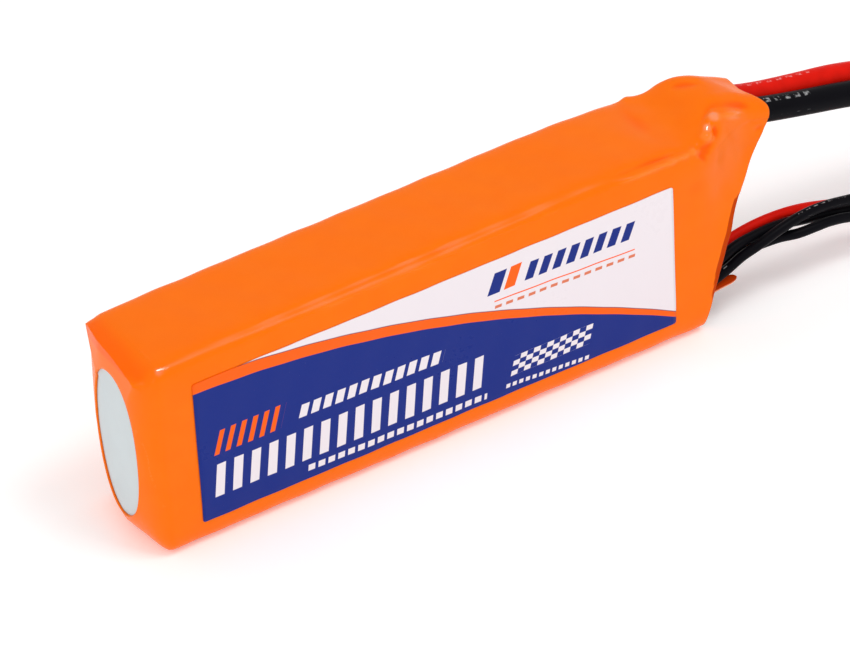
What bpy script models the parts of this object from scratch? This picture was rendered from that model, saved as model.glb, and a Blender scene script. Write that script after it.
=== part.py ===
"""A three-cell lithium-polymer battery pack for radio-controlled models.

The pack stands on its narrow side. +X runs along the pack to its leads, -Y is the labelled wide
face, +Z is up, and the origin is the middle of the pack's footprint on the surface it stands on.
"""

import math

import bmesh
import bpy
import numpy as np
from mathutils import Matrix, Vector

MM = 0.001
GAP = 0.3 * MM

# Shrink sleeve: its outer size, and where its ends begin to change shape.
SLEEVE_HALF_THICK = 10.8 * MM
SLEEVE_HEIGHT = 38.7 * MM
SLEEVE_WALL = 0.4 * MM
SLEEVE_FRONT_X = -62.7 * MM
SLEEVE_FOLD_X = -58.7 * MM
SLEEVE_REAR_X = 34.7 * MM
SECTION_POWER = 9
RING_POINTS = 40
REAR_RINGS = 9
MID_Z = SLEEVE_HEIGHT / 2

# Height of the sleeve's top along it: (x, z) in millimetres. It dips behind the cells and rises over
# the lead joints.
TOP_LINE = [
    (-58.7, 38.2), (-53.0, 38.5), (-39.0, 38.7), (-9.0, 39.1), (8.0, 39.3), (28.0, 39.5),
    (36.0, 39.2), (41.0, 38.8), (45.0, 38.9), (47.0, 39.8), (49.0, 41.0), (51.0, 41.9),
    (53.0, 42.1), (55.0, 41.5), (57.0, 40.6), (59.5, 39.2), (62.7, 37.7),
]
TOP_SHARE_POWER = 4

# Oval window in the front end, and how far round the fold the film has already turned at its rim:
# a plain share, then what is added on the far side and at the bottom.
WINDOW_HALF_Y = 7.1 * MM
WINDOW_HALF_Z = 14.5 * MM
WINDOW_Z = 18.6 * MM
WINDOW_POWER = 2.2
FOLD_START = (0.28, 0.26, 0.07)
FRONT_SHARES = (0.0, 0.3, 0.6, 0.85)

# Rear rim: (z, x) in millimetres. It slants from the bottom up to a collar round the main leads.
RIM_LINE = [
    (0.0, 45.2), (3.3, 45.9), (6.9, 46.9), (9.7, 47.8), (14.3, 49.2), (18.7, 50.7),
    (21.5, 51.9), (23.7, 53.5), (25.5, 55.6), (29.7, 59.3), (31.7, 60.5), (34.0, 61.7),
    (36.0, 62.4), (37.4, 62.7), (38.7, 62.7),
]
COLLAR_HALF_Y = 5.4 * MM
COLLAR_SKEW = 3.3 * MM
COLLAR_SKEW_Y = (-11.0 * MM, -1.0 * MM)
COLLAR_LOW_Z = (30.0 * MM, 36.0 * MM)
NARROW_X = (44.0 * MM, 59.0 * MM)
NARROW_Z = (17.0 * MM, 31.0 * MM)

# Label on the near wide face.
LABEL_X = (-53.5 * MM, 39.1 * MM)
LABEL_Z = (4.9 * MM, 33.4 * MM)
LABEL_THICK = 0.15 * MM

# Card inside the window.
CARD_X = (-61.1 * MM, -60.7 * MM)
CARD_HALF_Y = 7.6 * MM
CARD_HALF_Z = 15.4 * MM
CARD_POWER = 2.5

# Cells, stacked through the thickness of the pack.
CELL_COUNT = 3
CELL_THICK = 5.6 * MM
CELL_HALF_Z = 17.0 * MM
CELL_X = (-60.4 * MM, 28.6 * MM)
CELL_EDGE = 2.0 * MM
SEAL_END_X = 34.0 * MM
SEAL_THICK = 0.8 * MM
SEAL_HALF_Z = 16.0 * MM
SPACER_THICK = 0.3 * MM
SPACER_INSET_X = 6.0 * MM
SPACER_HALF_Z = 9.0 * MM
CELL_PITCH = CELL_THICK + SPACER_THICK + 2 * GAP
BAND_X = (-38.0 * MM, 8.0 * MM)
BAND_WIDTH = 12.0 * MM
BAND_THICK = 0.3 * MM
BAND_HALF_Y = 9.95 * MM
BAND_HALF_Z = 18.5 * MM

# Tabs, the sheet they pass through and the wiring board they are soldered to.
TAB_HALF_Z = 3.5 * MM
TAB_THICK = 0.3 * MM
TAB_OFFSET_Z = 8.0 * MM
TAB_END_X = 38.8 * MM
TAB_FOOT = 3.0 * MM
SHEET_X = (35.0 * MM, 35.4 * MM)
BOARD_X = (36.2 * MM, 37.4 * MM)
BOARD_HALF_Y = 9.2 * MM
BOARD_Z = (3.2 * MM, 36.4 * MM)
SLOT_CLEARANCE = 0.35 * MM
FOAM_X = (40.5 * MM, 42.5 * MM)
FOAM_Y = (-5.0 * MM, 8.6 * MM)
FOAM_Z = (5.0 * MM, 31.4 * MM)
FOAM_EDGE = 0.5 * MM
TAB_JOINT_SIZE = (0.7 * MM, 2.6 * MM, 4.4 * MM)
TAB_JOINT_EDGE = 0.3 * MM

# Leads: 12 AWG main leads and 22 AWG balance leads, silicone insulated.
MAIN_LEAD_R = 2.25 * MM
BALANCE_LEAD_R = 0.9 * MM
MAIN_JOINT_R = 1.8 * MM
BALANCE_JOINT_R = 0.65 * MM
JOINT_GAP = 0.7 * MM

# Routes are (x, y, z) in millimetres. The main leads share one height along their way, but for the
# red one's small lift: its height, and where it grows and fades.
MAIN_LEAD_SIDE = [
    (41.8, 34.7), (46.0, 35.6), (52.0, 36.3), (58.0, 35.8), (62.0, 34.7), (66.0, 33.7),
    (73.0, 32.1), (81.0, 30.3), (90.0, 27.6), (100.0, 23.3), (110.0, 17.4), (119.0, 11.4),
    (128.0, 6.5), (137.0, 3.4), (146.0, 2.4), (154.0, 2.7), (161.0, 3.7), (166.0, 4.15),
    (169.0, 4.15), (172.2, 4.15),
]
RED_LIFT = 0.8 * MM
RED_LIFT_GROWS_X = (64.0 * MM, 84.0 * MM)
RED_LIFT_FADES_X = (100.0 * MM, 135.0 * MM)
PLUG_MID_Y = 2.0 * MM
PLUG_PITCH = 7.2 * MM
PLUG_AXIS_Z = 4.15 * MM
LEAD_HALF_PITCH = 2.4 * MM
LEADS_PART_X = (80.0 * MM, 160.0 * MM)

BALANCE_ROUTES = {
    "balance_lead_1": [
        (41.5, -8.1, 12.0), (45.5, -7.2, 12.3), (54.8, -5.0, 12.7), (58.6, -5.1, 13.4),
        (62.3, -5.2, 13.6), (66.1, -5.3, 13.4), (69.6, -5.1, 12.6), (74.0, -4.9, 11.2),
        (79.3, -4.7, 9.3), (88.0, -5.6, 6.9), (97.0, -6.0, 4.3), (106.0, -7.0, 1.9),
        (114.0, -8.6, 1.0), (122.0, -10.3, 1.0), (130.0, -11.5, 1.0), (138.0, -11.5, 2.0),
        (144.0, -11.5, 2.85),
    ],
    "balance_lead_2": [
        (41.5, -8.1, 9.6), (45.5, -8.3, 10.0), (53.0, -7.7, 12.8), (57.0, -7.4, 13.2),
        (60.9, -7.2, 13.2), (63.8, -7.2, 13.0), (68.4, -6.9, 11.8), (72.6, -6.9, 11.1),
        (77.9, -6.8, 9.8), (88.0, -7.4, 8.1), (97.0, -9.0, 4.4), (106.0, -10.8, 2.5),
        (114.0, -13.6, 1.1), (122.0, -15.3, 1.0), (130.0, -16.5, 1.0), (138.0, -16.5, 2.0),
        (144.0, -16.5, 2.85),
    ],
    "balance_lead_3": [
        (41.5, -8.1, 7.2), (45.0, -8.4, 7.2), (51.0, -8.5, 9.4), (54.1, -8.8, 11.2),
        (56.9, -9.2, 12.4), (62.0, -9.2, 14.0), (67.0, -8.9, 14.7), (71.6, -8.4, 14.2),
        (77.2, -7.8, 12.8), (88.0, -6.3, 9.9), (97.0, -7.2, 6.9), (106.0, -8.4, 4.0),
        (114.0, -7.6, 3.1), (122.0, -7.6, 1.4), (130.0, -9.0, 1.0), (138.0, -9.0, 2.0),
        (144.0, -9.0, 2.85),
    ],
    "balance_lead_4": [
        (41.5, -8.1, 4.8), (45.0, -7.9, 5.0), (51.2, -6.7, 8.0), (53.6, -6.5, 9.5),
        (55.9, -6.6, 10.3), (58.4, -7.0, 10.6), (62.5, -7.7, 10.9), (65.6, -8.8, 11.1),
        (69.2, -9.1, 11.2), (72.1, -9.0, 11.0), (76.5, -8.8, 9.9), (88.0, -8.5, 4.9),
        (97.0, -7.3, 2.5), (106.0, -9.4, 1.0), (114.0, -11.1, 1.0), (122.0, -12.8, 1.0),
        (130.0, -14.0, 1.0), (138.0, -14.0, 2.0), (144.0, -14.0, 2.85),
    ],
}

# Main plug: a two-contact plug with its sockets in the mating face, lying flat.
PLUG_X = (176.0 * MM, 192.0 * MM)
PLUG_STEP_X = 183.5 * MM
PLUG_HALF_Y = 7.8 * MM
PLUG_HALF_Z = 3.95 * MM
GRIP_EXTRA = 0.2 * MM
PLUG_CORNER = 2.3 * MM
GRIP_GROOVES = 3
GROOVE_SIZE = (1.0 * MM, 0.8 * MM, 3.0 * MM)
SOCKET_R = 1.75 * MM
CONTACT_R = 2.1 * MM
CONTACT_X = (172.5 * MM, 191.6 * MM)
SOCKET_DEPTH = 8.0 * MM
CUP_R = 1.6 * MM
CUP_DEPTH = 3.0 * MM
CUP_SLEEVE_X = (165.0 * MM, 175.7 * MM)
CUP_SLEEVE_R = (2.6 * MM, 3.0 * MM)

# Balance plug: a four-way plug with 2.5 mm between contacts, lying flat.
BALANCE_PLUG_X = (144.3 * MM, 154.1 * MM)
BALANCE_PLUG_Y = -12.75 * MM
BALANCE_PLUG_HALF_Y = 6.2 * MM
BALANCE_PLUG_HEIGHT = 5.7 * MM
BALANCE_PITCH = 2.5 * MM
CAVITY_HALF = 0.95 * MM
CRIMP_HALF = 0.6 * MM
CRIMP_X = (145.5 * MM, 153.2 * MM)
RIB_X = (145.3 * MM, 151.5 * MM)
RIB_OFFSET_Y = 3.4 * MM
RIB_HALF_Y = 0.6 * MM
RIB_HEIGHT = 0.7 * MM
RIB_ROOT = 0.5 * MM

ORANGE = (1.0, 0.15, 0.002)
BLUE = (0.014, 0.040, 0.275)
PAD_GREY = (0.64, 0.69, 0.70)
LEAD_RED = (0.70, 0.03, 0.02)
LEAD_BLACK = (0.012, 0.012, 0.014)
SOLDER = (0.62, 0.62, 0.64)


# ---------------------------------------------------------------- scene, materials and objects


def clear_scene():
    for obj in list(bpy.data.objects):
        bpy.data.objects.remove(obj, do_unlink=True)


def new_collection(name, hidden=False):
    collection = bpy.data.collections.new(name)
    bpy.context.scene.collection.children.link(collection)
    collection.hide_render = hidden
    return collection


def new_material(name, color, roughness, metallic=0.0):
    material = bpy.data.materials.new(name)
    material.use_nodes = True
    shader = material.node_tree.nodes["Principled BSDF"]
    shader.inputs["Base Color"].default_value = (*color, 1.0)
    shader.inputs["Roughness"].default_value = roughness
    shader.inputs["Metallic"].default_value = metallic
    return material


def add_object(name, mesh_or_curve, collection, material=None):
    obj = bpy.data.objects.new(name, mesh_or_curve)
    collection.objects.link(obj)
    if material:
        obj.data.materials.append(material)
    return obj


def mesh_from(name, bm):
    bmesh.ops.recalc_face_normals(bm, faces=bm.faces)
    mesh = bpy.data.meshes.new(name)
    bm.to_mesh(mesh)
    bm.free()
    return mesh


def smooth(obj, angle=math.radians(35)):
    obj.data.shade_smooth()
    obj.data.set_sharp_from_angle(angle=angle)


def add_box(name, x, y, z, collection, material=None, bevel=0.0, segments=2):
    """A box between the pairs of limits x, y and z."""
    size = Vector((x[1] - x[0], y[1] - y[0], z[1] - z[0]))
    middle = Vector((x[0] + x[1], y[0] + y[1], z[0] + z[1])) / 2
    bm = bmesh.new()
    bmesh.ops.create_cube(bm, size=1.0, matrix=Matrix.Diagonal(size).to_4x4())
    obj = add_object(name, mesh_from(name, bm), collection, material)
    obj.location = middle
    if bevel:
        add_bevel(obj, bevel, segments)
    return obj


def add_bevel(obj, width, segments):
    modifier = obj.modifiers.new("Rounded edges", "BEVEL")
    modifier.width = width
    modifier.segments = segments
    modifier.limit_method = "ANGLE"


def add_boolean(obj, other, operation):
    modifier = obj.modifiers.new(operation.title(), "BOOLEAN")
    modifier.operation = operation
    modifier.object = other
    modifier.solver = "EXACT"
    other.hide_render = True
    other.display_type = "WIRE"


def add_cylinder(name, x, y, z, radius, collection, material=None, end_radius=None, sides=24):
    """A cylinder or cone along X, from x[0] to x[1], with its axis at (y, z)."""
    bm = bmesh.new()
    turn = Matrix.Rotation(math.pi / 2, 4, "Y")
    bmesh.ops.create_cone(
        bm,
        cap_ends=True,
        segments=sides,
        radius1=radius,
        radius2=radius if end_radius is None else end_radius,
        depth=x[1] - x[0],
        matrix=turn,
    )
    obj = add_object(name, mesh_from(name, bm), collection, material)
    obj.location = ((x[0] + x[1]) / 2, y, z)
    smooth(obj)
    return obj


def add_turned(name, profile, y, z, collection, material, steps=20):
    """A solid turned about an X axis at (y, z). The profile is (x, radius), end to end on the axis."""
    bm = bmesh.new()
    rim = [bm.verts.new((radius, 0.0, -x)) for x, radius in profile]
    for first, second in zip(rim, rim[1:]):
        bm.edges.new((first, second))
    mesh = bpy.data.meshes.new(name)
    bm.to_mesh(mesh)
    bm.free()
    obj = add_object(name, mesh, collection, material)
    screw = obj.modifiers.new("Turn", "SCREW")
    screw.steps = steps
    screw.render_steps = steps
    screw.use_merge_vertices = True
    screw.merge_threshold = 0.00001
    obj.rotation_euler = (0.0, -math.pi / 2, 0.0)
    obj.location = (0.0, y, z)
    return obj


# ---------------------------------------------------------------- curves


def smooth_route(route, spacing):
    """Points at most `spacing` apart, read from a smooth curve through the route's own points."""
    points = [Vector(point) for point in route]
    last = len(points) - 1
    tangents = []
    for index in range(last + 1):
        before = points[max(index - 1, 0)]
        after = points[min(index + 1, last)]
        reach = sum(
            (points[k + 1] - points[k]).length
            for k in range(max(index - 1, 0), min(index + 1, last))
        )
        tangents.append((after - before) / reach)
    smoothed = [points[0]]
    for index in range(last):
        start, end = points[index], points[index + 1]
        length = (end - start).length
        steps = max(1, math.ceil(length / spacing))
        for step in range(1, steps + 1):
            t = step / steps
            smoothed.append(
                start * (2 * t**3 - 3 * t**2 + 1)
                + tangents[index] * length * (t**3 - 2 * t**2 + t)
                + end * (3 * t**2 - 2 * t**3)
                + tangents[index + 1] * length * (t**3 - t**2)
            )
    return smoothed


def add_tube(name, route, radius, collection, material, resolution=2):
    curve = bpy.data.curves.new(name, "CURVE")
    curve.dimensions = "3D"
    curve.bevel_depth = radius
    curve.bevel_resolution = resolution
    curve.use_fill_caps = True
    points = smooth_route(route, 5 * radius)
    spline = curve.splines.new("POLY")
    spline.points.add(len(points) - 1)
    for target, point in zip(spline.points, points):
        target.co = (*point, 1.0)
    return add_object(name, curve, collection, material)


def blend(value, start, end):
    """0 before start, 1 after end, and a smooth step between them."""
    t = min(max((value - start) / (end - start), 0.0), 1.0)
    return t * t * (3 - 2 * t)


def value_at(line, place):
    """The value at a place on a smooth line through (place, value) points."""
    places, values = np.array(line).T
    slopes = np.gradient(values, places)
    index = int(np.clip(np.searchsorted(places, place) - 1, 0, len(places) - 2))
    width = places[index + 1] - places[index]
    t = min(max((place - places[index]) / width, 0.0), 1.0)
    return (
        values[index] * (2 * t**3 - 3 * t**2 + 1)
        + slopes[index] * width * (t**3 - 2 * t**2 + t)
        + values[index + 1] * (3 * t**2 - 2 * t**3)
        + slopes[index + 1] * width * (t**3 - t**2)
    )


def ring(half_y, half_z, middle_z, power, count=RING_POINTS):
    """(y, z) points round a superellipse: an ellipse at power 2, a rounded rectangle at 9."""
    points = []
    for index in range(count):
        angle = 2 * math.pi * (index + 0.5) / count
        cosine, sine = math.cos(angle), math.sin(angle)
        y = math.copysign(abs(cosine) ** (2 / power), cosine) * half_y
        z = math.copysign(abs(sine) ** (2 / power), sine) * half_z
        points.append((y, middle_z + z))
    return points


def loft(name, rings, collection, material):
    """An open surface through rings that hold the same number of points."""
    bm = bmesh.new()
    rows = [[bm.verts.new(point) for point in points] for points in rings]
    for row, following in zip(rows, rows[1:]):
        for index in range(len(row)):
            after = (index + 1) % len(row)
            bm.faces.new((row[index], row[after], following[after], following[index]))
    return add_object(name, mesh_from(name, bm), collection, material)


# ---------------------------------------------------------------- outer parts


def raised(x, z):
    """Height of the body section's level z at x: only its upper part follows the line of the top."""
    rise = value_at(TOP_LINE, x / MM) * MM - SLEEVE_HEIGHT
    return z + rise * (max(z, 0.0) / SLEEVE_HEIGHT) ** TOP_SHARE_POWER


def rim_x(y, z):
    """Where the rear rim lies at height z. The collar's far side is cut a little shorter."""
    skew = COLLAR_SKEW * blend(y, *COLLAR_SKEW_Y) * blend(z, *COLLAR_LOW_Z)
    return value_at(RIM_LINE, z / MM) * MM - skew


def front_point(y, z, share):
    """A point of the folded front, a share of the way from the window's rim to the section's (y, z)."""
    angle = math.atan2((z - MID_Z) / MID_Z, y / SLEEVE_HALF_THICK)
    cosine, sine = math.cos(angle), math.sin(angle)
    window_y = math.copysign(abs(cosine) ** (2 / WINDOW_POWER), cosine) * WINDOW_HALF_Y
    window_z = WINDOW_Z + math.copysign(abs(sine) ** (2 / WINDOW_POWER), sine) * WINDOW_HALF_Z
    plain, far, low = FOLD_START
    start = plain + far * max(cosine, 0.0) + low * max(-sine, 0.0)
    turned = start + (1 - start) * share
    x = SLEEVE_FOLD_X - (SLEEVE_FOLD_X - SLEEVE_FRONT_X) * math.sqrt((1 - turned**2) / (1 - plain**2))
    level = raised(SLEEVE_FOLD_X, z)
    return (x, window_y + (y - window_y) * share, window_z + (level - window_z) * share)


def rear_point(y, z, share):
    """The body section's point (y, z), carried a share of the way to the rear rim."""
    x = SLEEVE_REAR_X + (rim_x(y, z) - SLEEVE_REAR_X) * share
    narrowing = blend(x, *NARROW_X) * blend(z, *NARROW_Z)
    width = SLEEVE_HALF_THICK - (SLEEVE_HALF_THICK - COLLAR_HALF_Y) * narrowing
    return (x, y * width / SLEEVE_HALF_THICK, raised(x, z))


def make_sleeve(collection, material):
    body = ring(SLEEVE_HALF_THICK, MID_Z, MID_Z, SECTION_POWER)
    rings = [[front_point(y, z, share) for y, z in body] for share in FRONT_SHARES]
    along = [SLEEVE_FOLD_X] + [x * MM for x, _ in TOP_LINE if SLEEVE_FOLD_X < x * MM < SLEEVE_REAR_X]
    rings += [[(x, y, raised(x, z)) for y, z in body] for x in (*along, SLEEVE_REAR_X)]
    for step in range(1, REAR_RINGS + 1):
        rings.append([rear_point(y, z, step / REAR_RINGS) for y, z in body])
    sleeve = loft("shrink_sleeve", rings, collection, material)
    wall = sleeve.modifiers.new("Wall", "SOLIDIFY")
    wall.thickness = SLEEVE_WALL
    wall.offset = -1.0
    smooth(sleeve)


def make_label(collection, material):
    outer_y = -SLEEVE_HALF_THICK - GAP
    add_box("label", LABEL_X, (outer_y - LABEL_THICK, outer_y), LABEL_Z, collection, material)


def make_end_pad(collection, material):
    """A card behind the window, cut to the window's oval and a little larger."""
    rings = [
        [(x, y, z) for y, z in ring(CARD_HALF_Y, CARD_HALF_Z, WINDOW_Z, CARD_POWER)]
        for x in CARD_X
    ]
    pad = loft("end_pad", rings, collection, material)
    bm = bmesh.new()
    bm.from_mesh(pad.data)
    bmesh.ops.holes_fill(bm, edges=bm.edges)
    bmesh.ops.recalc_face_normals(bm, faces=bm.faces)
    bm.to_mesh(pad.data)
    bm.free()


# ---------------------------------------------------------------- cells


def cell_y(number):
    return (number - (CELL_COUNT + 1) / 2) * CELL_PITCH


def make_cell(number, collection, helpers, material):
    """A pouch with its sealed edge standing out at the tab end."""
    y = cell_y(number)
    half = CELL_THICK / 2
    pouch = add_box(
        f"cell_{number}",
        CELL_X,
        (y - half, y + half),
        (MID_Z - CELL_HALF_Z, MID_Z + CELL_HALF_Z),
        collection,
        material,
        bevel=CELL_EDGE,
    )
    seal = add_box(
        f"cell_{number}_seal",
        (CELL_X[1] - 2 * MM, SEAL_END_X),
        (y - SEAL_THICK / 2, y + SEAL_THICK / 2),
        (MID_Z - SEAL_HALF_Z, MID_Z + SEAL_HALF_Z),
        helpers,
    )
    add_boolean(pouch, seal, "UNION")


def tab_side(number, is_positive):
    """1 for a tab in the upper half of the cell, -1 in the lower. Every second cell is turned over."""
    side = 1 if number % 2 == 1 else -1
    return side if is_positive else -side


def make_tab(number, is_positive, collection, material):
    """A strip out of the sealed edge, through the board, with its end folded to one side."""
    y = cell_y(number)
    z = MID_Z + TAB_OFFSET_Z * tab_side(number, is_positive)
    joins = number - 1 if is_positive else number + 1
    fold = 1 if joins > number else -1
    if not 1 <= joins <= CELL_COUNT:
        fold = -fold
    kind = "positive" if is_positive else "negative"
    half = TAB_THICK / 2
    outline = [
        (SEAL_END_X + GAP, y - fold * half),
        (TAB_END_X + TAB_THICK, y - fold * half),
        (TAB_END_X + TAB_THICK, y + fold * TAB_FOOT),
        (TAB_END_X, y + fold * TAB_FOOT),
        (TAB_END_X, y + fold * half),
        (SEAL_END_X + GAP, y + fold * half),
    ]
    bm = bmesh.new()
    face = bm.faces.new([bm.verts.new((px, py, z - TAB_HALF_Z)) for px, py in outline])
    swept = bmesh.ops.extrude_face_region(bm, geom=[face])
    top = [item for item in swept["geom"] if isinstance(item, bmesh.types.BMVert)]
    bmesh.ops.translate(bm, verts=top, vec=(0.0, 0.0, 2 * TAB_HALF_Z))
    name = f"cell_{number}_{kind}_tab"
    add_object(name, mesh_from(name, bm), collection, material)


def make_spacers(collection, material):
    for number in range(1, CELL_COUNT):
        y = (cell_y(number) + cell_y(number + 1)) / 2
        half = SPACER_THICK / 2
        x = (CELL_X[0] + SPACER_INSET_X, CELL_X[1] - SPACER_INSET_X)
        z = (MID_Z - SPACER_HALF_Z, MID_Z + SPACER_HALF_Z)
        add_box(f"cell_tape_{number}", x, (y - half, y + half), z, collection, material)


def make_band(name, x, collection, material):
    """A turn of tape round the whole stack."""
    half = BAND_WIDTH / 2
    rings = [
        [(end, y, z) for y, z in ring(BAND_HALF_Y, BAND_HALF_Z, MID_Z, SECTION_POWER)]
        for end in (x - half, x + half)
    ]
    band = loft(name, rings, collection, material)
    wall = band.modifiers.new("Tape", "SOLIDIFY")
    wall.thickness = BAND_THICK
    wall.offset = -1.0


# ---------------------------------------------------------------- wiring at the rear end


def cut_tab_slots(obj, helpers):
    """Slots for all six tabs, cut by one group of cutters."""
    clear_y = TAB_THICK / 2 + SLOT_CLEARANCE
    clear_z = TAB_HALF_Z + SLOT_CLEARANCE
    for number in range(1, CELL_COUNT + 1):
        for side in (-1, 1):
            y = cell_y(number)
            z = MID_Z + side * TAB_OFFSET_Z
            cutter = add_box(
                f"{obj.name}_slot_{number}_{side}",
                (SHEET_X[0] - MM, BOARD_X[1] + MM),
                (y - clear_y, y + clear_y),
                (z - clear_z, z + clear_z),
                helpers,
            )
            add_boolean(obj, cutter, "DIFFERENCE")


def make_board(collection, helpers, sheet_material, board_material):
    y = (-BOARD_HALF_Y, BOARD_HALF_Y)
    sheet = add_box("tab_sheet", SHEET_X, y, BOARD_Z, collection, sheet_material)
    board = add_box("wiring_board", BOARD_X, y, BOARD_Z, collection, board_material)
    cut_tab_slots(sheet, helpers)
    cut_tab_slots(board, helpers)


def make_tab_joints(collection, material):
    """A bead of solder over each pair of folded tabs, and one on each outer tab."""
    face_x = TAB_END_X + TAB_THICK + GAP
    thick, width, height = TAB_JOINT_SIZE
    feet = {
        "tab_joint_1_2": ((cell_y(1) + cell_y(2)) / 2, -1),
        "tab_joint_2_3": ((cell_y(2) + cell_y(3)) / 2, 1),
        "tab_joint_positive": (cell_y(1) + TAB_FOOT / 2, 1),
        "tab_joint_negative": (cell_y(3) - TAB_FOOT / 2, -1),
    }
    for name, (y, side) in feet.items():
        z = MID_Z + side * TAB_OFFSET_Z
        x = (face_x, face_x + thick)
        limits_y = (y - width / 2, y + width / 2)
        limits_z = (z - height / 2, z + height / 2)
        add_box(name, x, limits_y, limits_z, collection, material, bevel=TAB_JOINT_EDGE)


def make_foam(collection, material):
    add_box("rear_foam_pad", FOAM_X, FOAM_Y, FOAM_Z, collection, material, bevel=FOAM_EDGE)


def main_lead_route(side):
    """Route of one main lead in metres. They part on the way to the plug's wider contacts."""
    route = []
    for x, z in MAIN_LEAD_SIDE:
        part = blend(x * MM, *LEADS_PART_X)
        lift = RED_LIFT * blend(x * MM, *RED_LIFT_GROWS_X) * (1 - blend(x * MM, *RED_LIFT_FADES_X))
        near = side * LEAD_HALF_PITCH
        far = PLUG_MID_Y + side * PLUG_PITCH / 2
        height = z * MM + (lift if side > 0 else 0.0)
        route.append((x * MM, near + (far - near) * part, height))
    return route


def make_main_leads(collection, red, black, solder):
    for color, side, material in (("black", -1, black), ("red", 1, red)):
        route = main_lead_route(side)
        add_tube(f"main_lead_{color}", route, MAIN_LEAD_R, collection, material)
        start = route[0]
        x = (BOARD_X[1] + GAP, start[0] - JOINT_GAP)
        name = f"main_joint_{color}"
        add_cylinder(name, x, start[1], start[2], MAIN_JOINT_R, collection, solder, sides=16)


def make_balance_leads(collection, red, black, solder):
    for number, (name, route) in enumerate(BALANCE_ROUTES.items(), start=1):
        metres = [Vector(point) * MM for point in route]
        material = red if number == 1 else black
        add_tube(name, metres, BALANCE_LEAD_R, collection, material)
        start = metres[0]
        x = (BOARD_X[1] + GAP, start.x - JOINT_GAP)
        joint = f"balance_joint_{number}"
        add_cylinder(joint, x, start.y, start.z, BALANCE_JOINT_R, collection, solder, sides=10)


# ---------------------------------------------------------------- plugs


def plug_outline(half_y, half_z, corner):
    """Outline of the main plug across its axis: two corners are cut, so it fits one way only."""
    return [
        (-half_y, -half_z),
        (half_y - corner, -half_z),
        (half_y, -half_z + corner),
        (half_y, half_z - corner),
        (half_y - corner, half_z),
        (-half_y, half_z),
    ]


def add_prism(name, outline, x, y, z, collection, material=None):
    """An outline in (y, z), extruded along X between the limits x."""
    bm = bmesh.new()
    face = bm.faces.new([bm.verts.new((x[0], y + dy, z + dz)) for dy, dz in outline])
    swept = bmesh.ops.extrude_face_region(bm, geom=[face])
    end = [item for item in swept["geom"] if isinstance(item, bmesh.types.BMVert)]
    bmesh.ops.translate(bm, verts=end, vec=(x[1] - x[0], 0.0, 0.0))
    return add_object(name, mesh_from(name, bm), collection, material)


def make_main_plug(collection, helpers, housing_material, gold, red, black):
    nose = plug_outline(PLUG_HALF_Y, PLUG_HALF_Z, PLUG_CORNER)
    grip = plug_outline(PLUG_HALF_Y + GRIP_EXTRA, PLUG_HALF_Z + GRIP_EXTRA, PLUG_CORNER)
    centre = (PLUG_MID_Y, PLUG_AXIS_Z)
    nose_x = (PLUG_STEP_X - MM, PLUG_X[1])
    grip_x = (PLUG_X[0], PLUG_STEP_X)
    housing = add_prism("main_plug_housing", grip, grip_x, *centre, collection, housing_material)
    add_boolean(housing, add_prism("plug_nose", nose, nose_x, *centre, helpers), "UNION")
    pitch = (PLUG_STEP_X - PLUG_X[0]) / (GRIP_GROOVES + 1)
    groove_x, groove_y, groove_z = (size / 2 for size in GROOVE_SIZE)
    for side in (-1, 1):
        for index in range(GRIP_GROOVES):
            x = PLUG_X[0] + pitch * (index + 1)
            y = PLUG_MID_Y + side * (PLUG_HALF_Y + GRIP_EXTRA)
            limits_x = (x - groove_x, x + groove_x)
            limits_y = (y - groove_y, y + groove_y)
            limits_z = (PLUG_AXIS_Z - groove_z, PLUG_AXIS_Z + groove_z)
            name = f"grip_groove_{side}_{index}"
            groove = add_box(name, limits_x, limits_y, limits_z, helpers)
            add_boolean(housing, groove, "DIFFERENCE")
    for color, side, material in (("black", -1, black), ("red", 1, red)):
        y = PLUG_MID_Y + side * PLUG_PITCH / 2
        bore_x = (PLUG_X[0] - MM, PLUG_X[1] + MM)
        bore_r = CONTACT_R + GAP
        bore = add_cylinder(f"bore_{color}", bore_x, y, PLUG_AXIS_Z, bore_r, helpers, sides=20)
        add_boolean(housing, bore, "DIFFERENCE")
        make_main_contact(f"main_contact_{color}", y, collection, gold)
        make_cup_sleeve(f"joint_sleeve_{color}", y, collection, material)


def make_main_contact(name, y, collection, material):
    """A round contact: a socket in front, and behind it a cup that holds the lead's strands."""
    back, front = CONTACT_X
    profile = [
        (back + CUP_DEPTH, 0.0),
        (back + CUP_DEPTH, CUP_R),
        (back, CUP_R),
        (back, CONTACT_R),
        (front, CONTACT_R),
        (front, SOCKET_R),
        (front - SOCKET_DEPTH, SOCKET_R),
        (front - SOCKET_DEPTH, 0.0),
    ]
    add_turned(name, profile, y, PLUG_AXIS_Z, collection, material)


def make_cup_sleeve(name, y, collection, material):
    """A short piece of shrink tube over the lead's end and the contact's cup."""
    inner, outer = CUP_SLEEVE_R
    rings = []
    for x in CUP_SLEEVE_X:
        rings.append([(x, y + dy, PLUG_AXIS_Z + dz) for dy, dz in ring(outer, outer, 0.0, 2, 16)])
    tube = loft(name, rings, collection, material)
    wall = tube.modifiers.new("Wall", "SOLIDIFY")
    wall.thickness = outer - inner
    wall.offset = -1.0
    smooth(tube)


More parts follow.
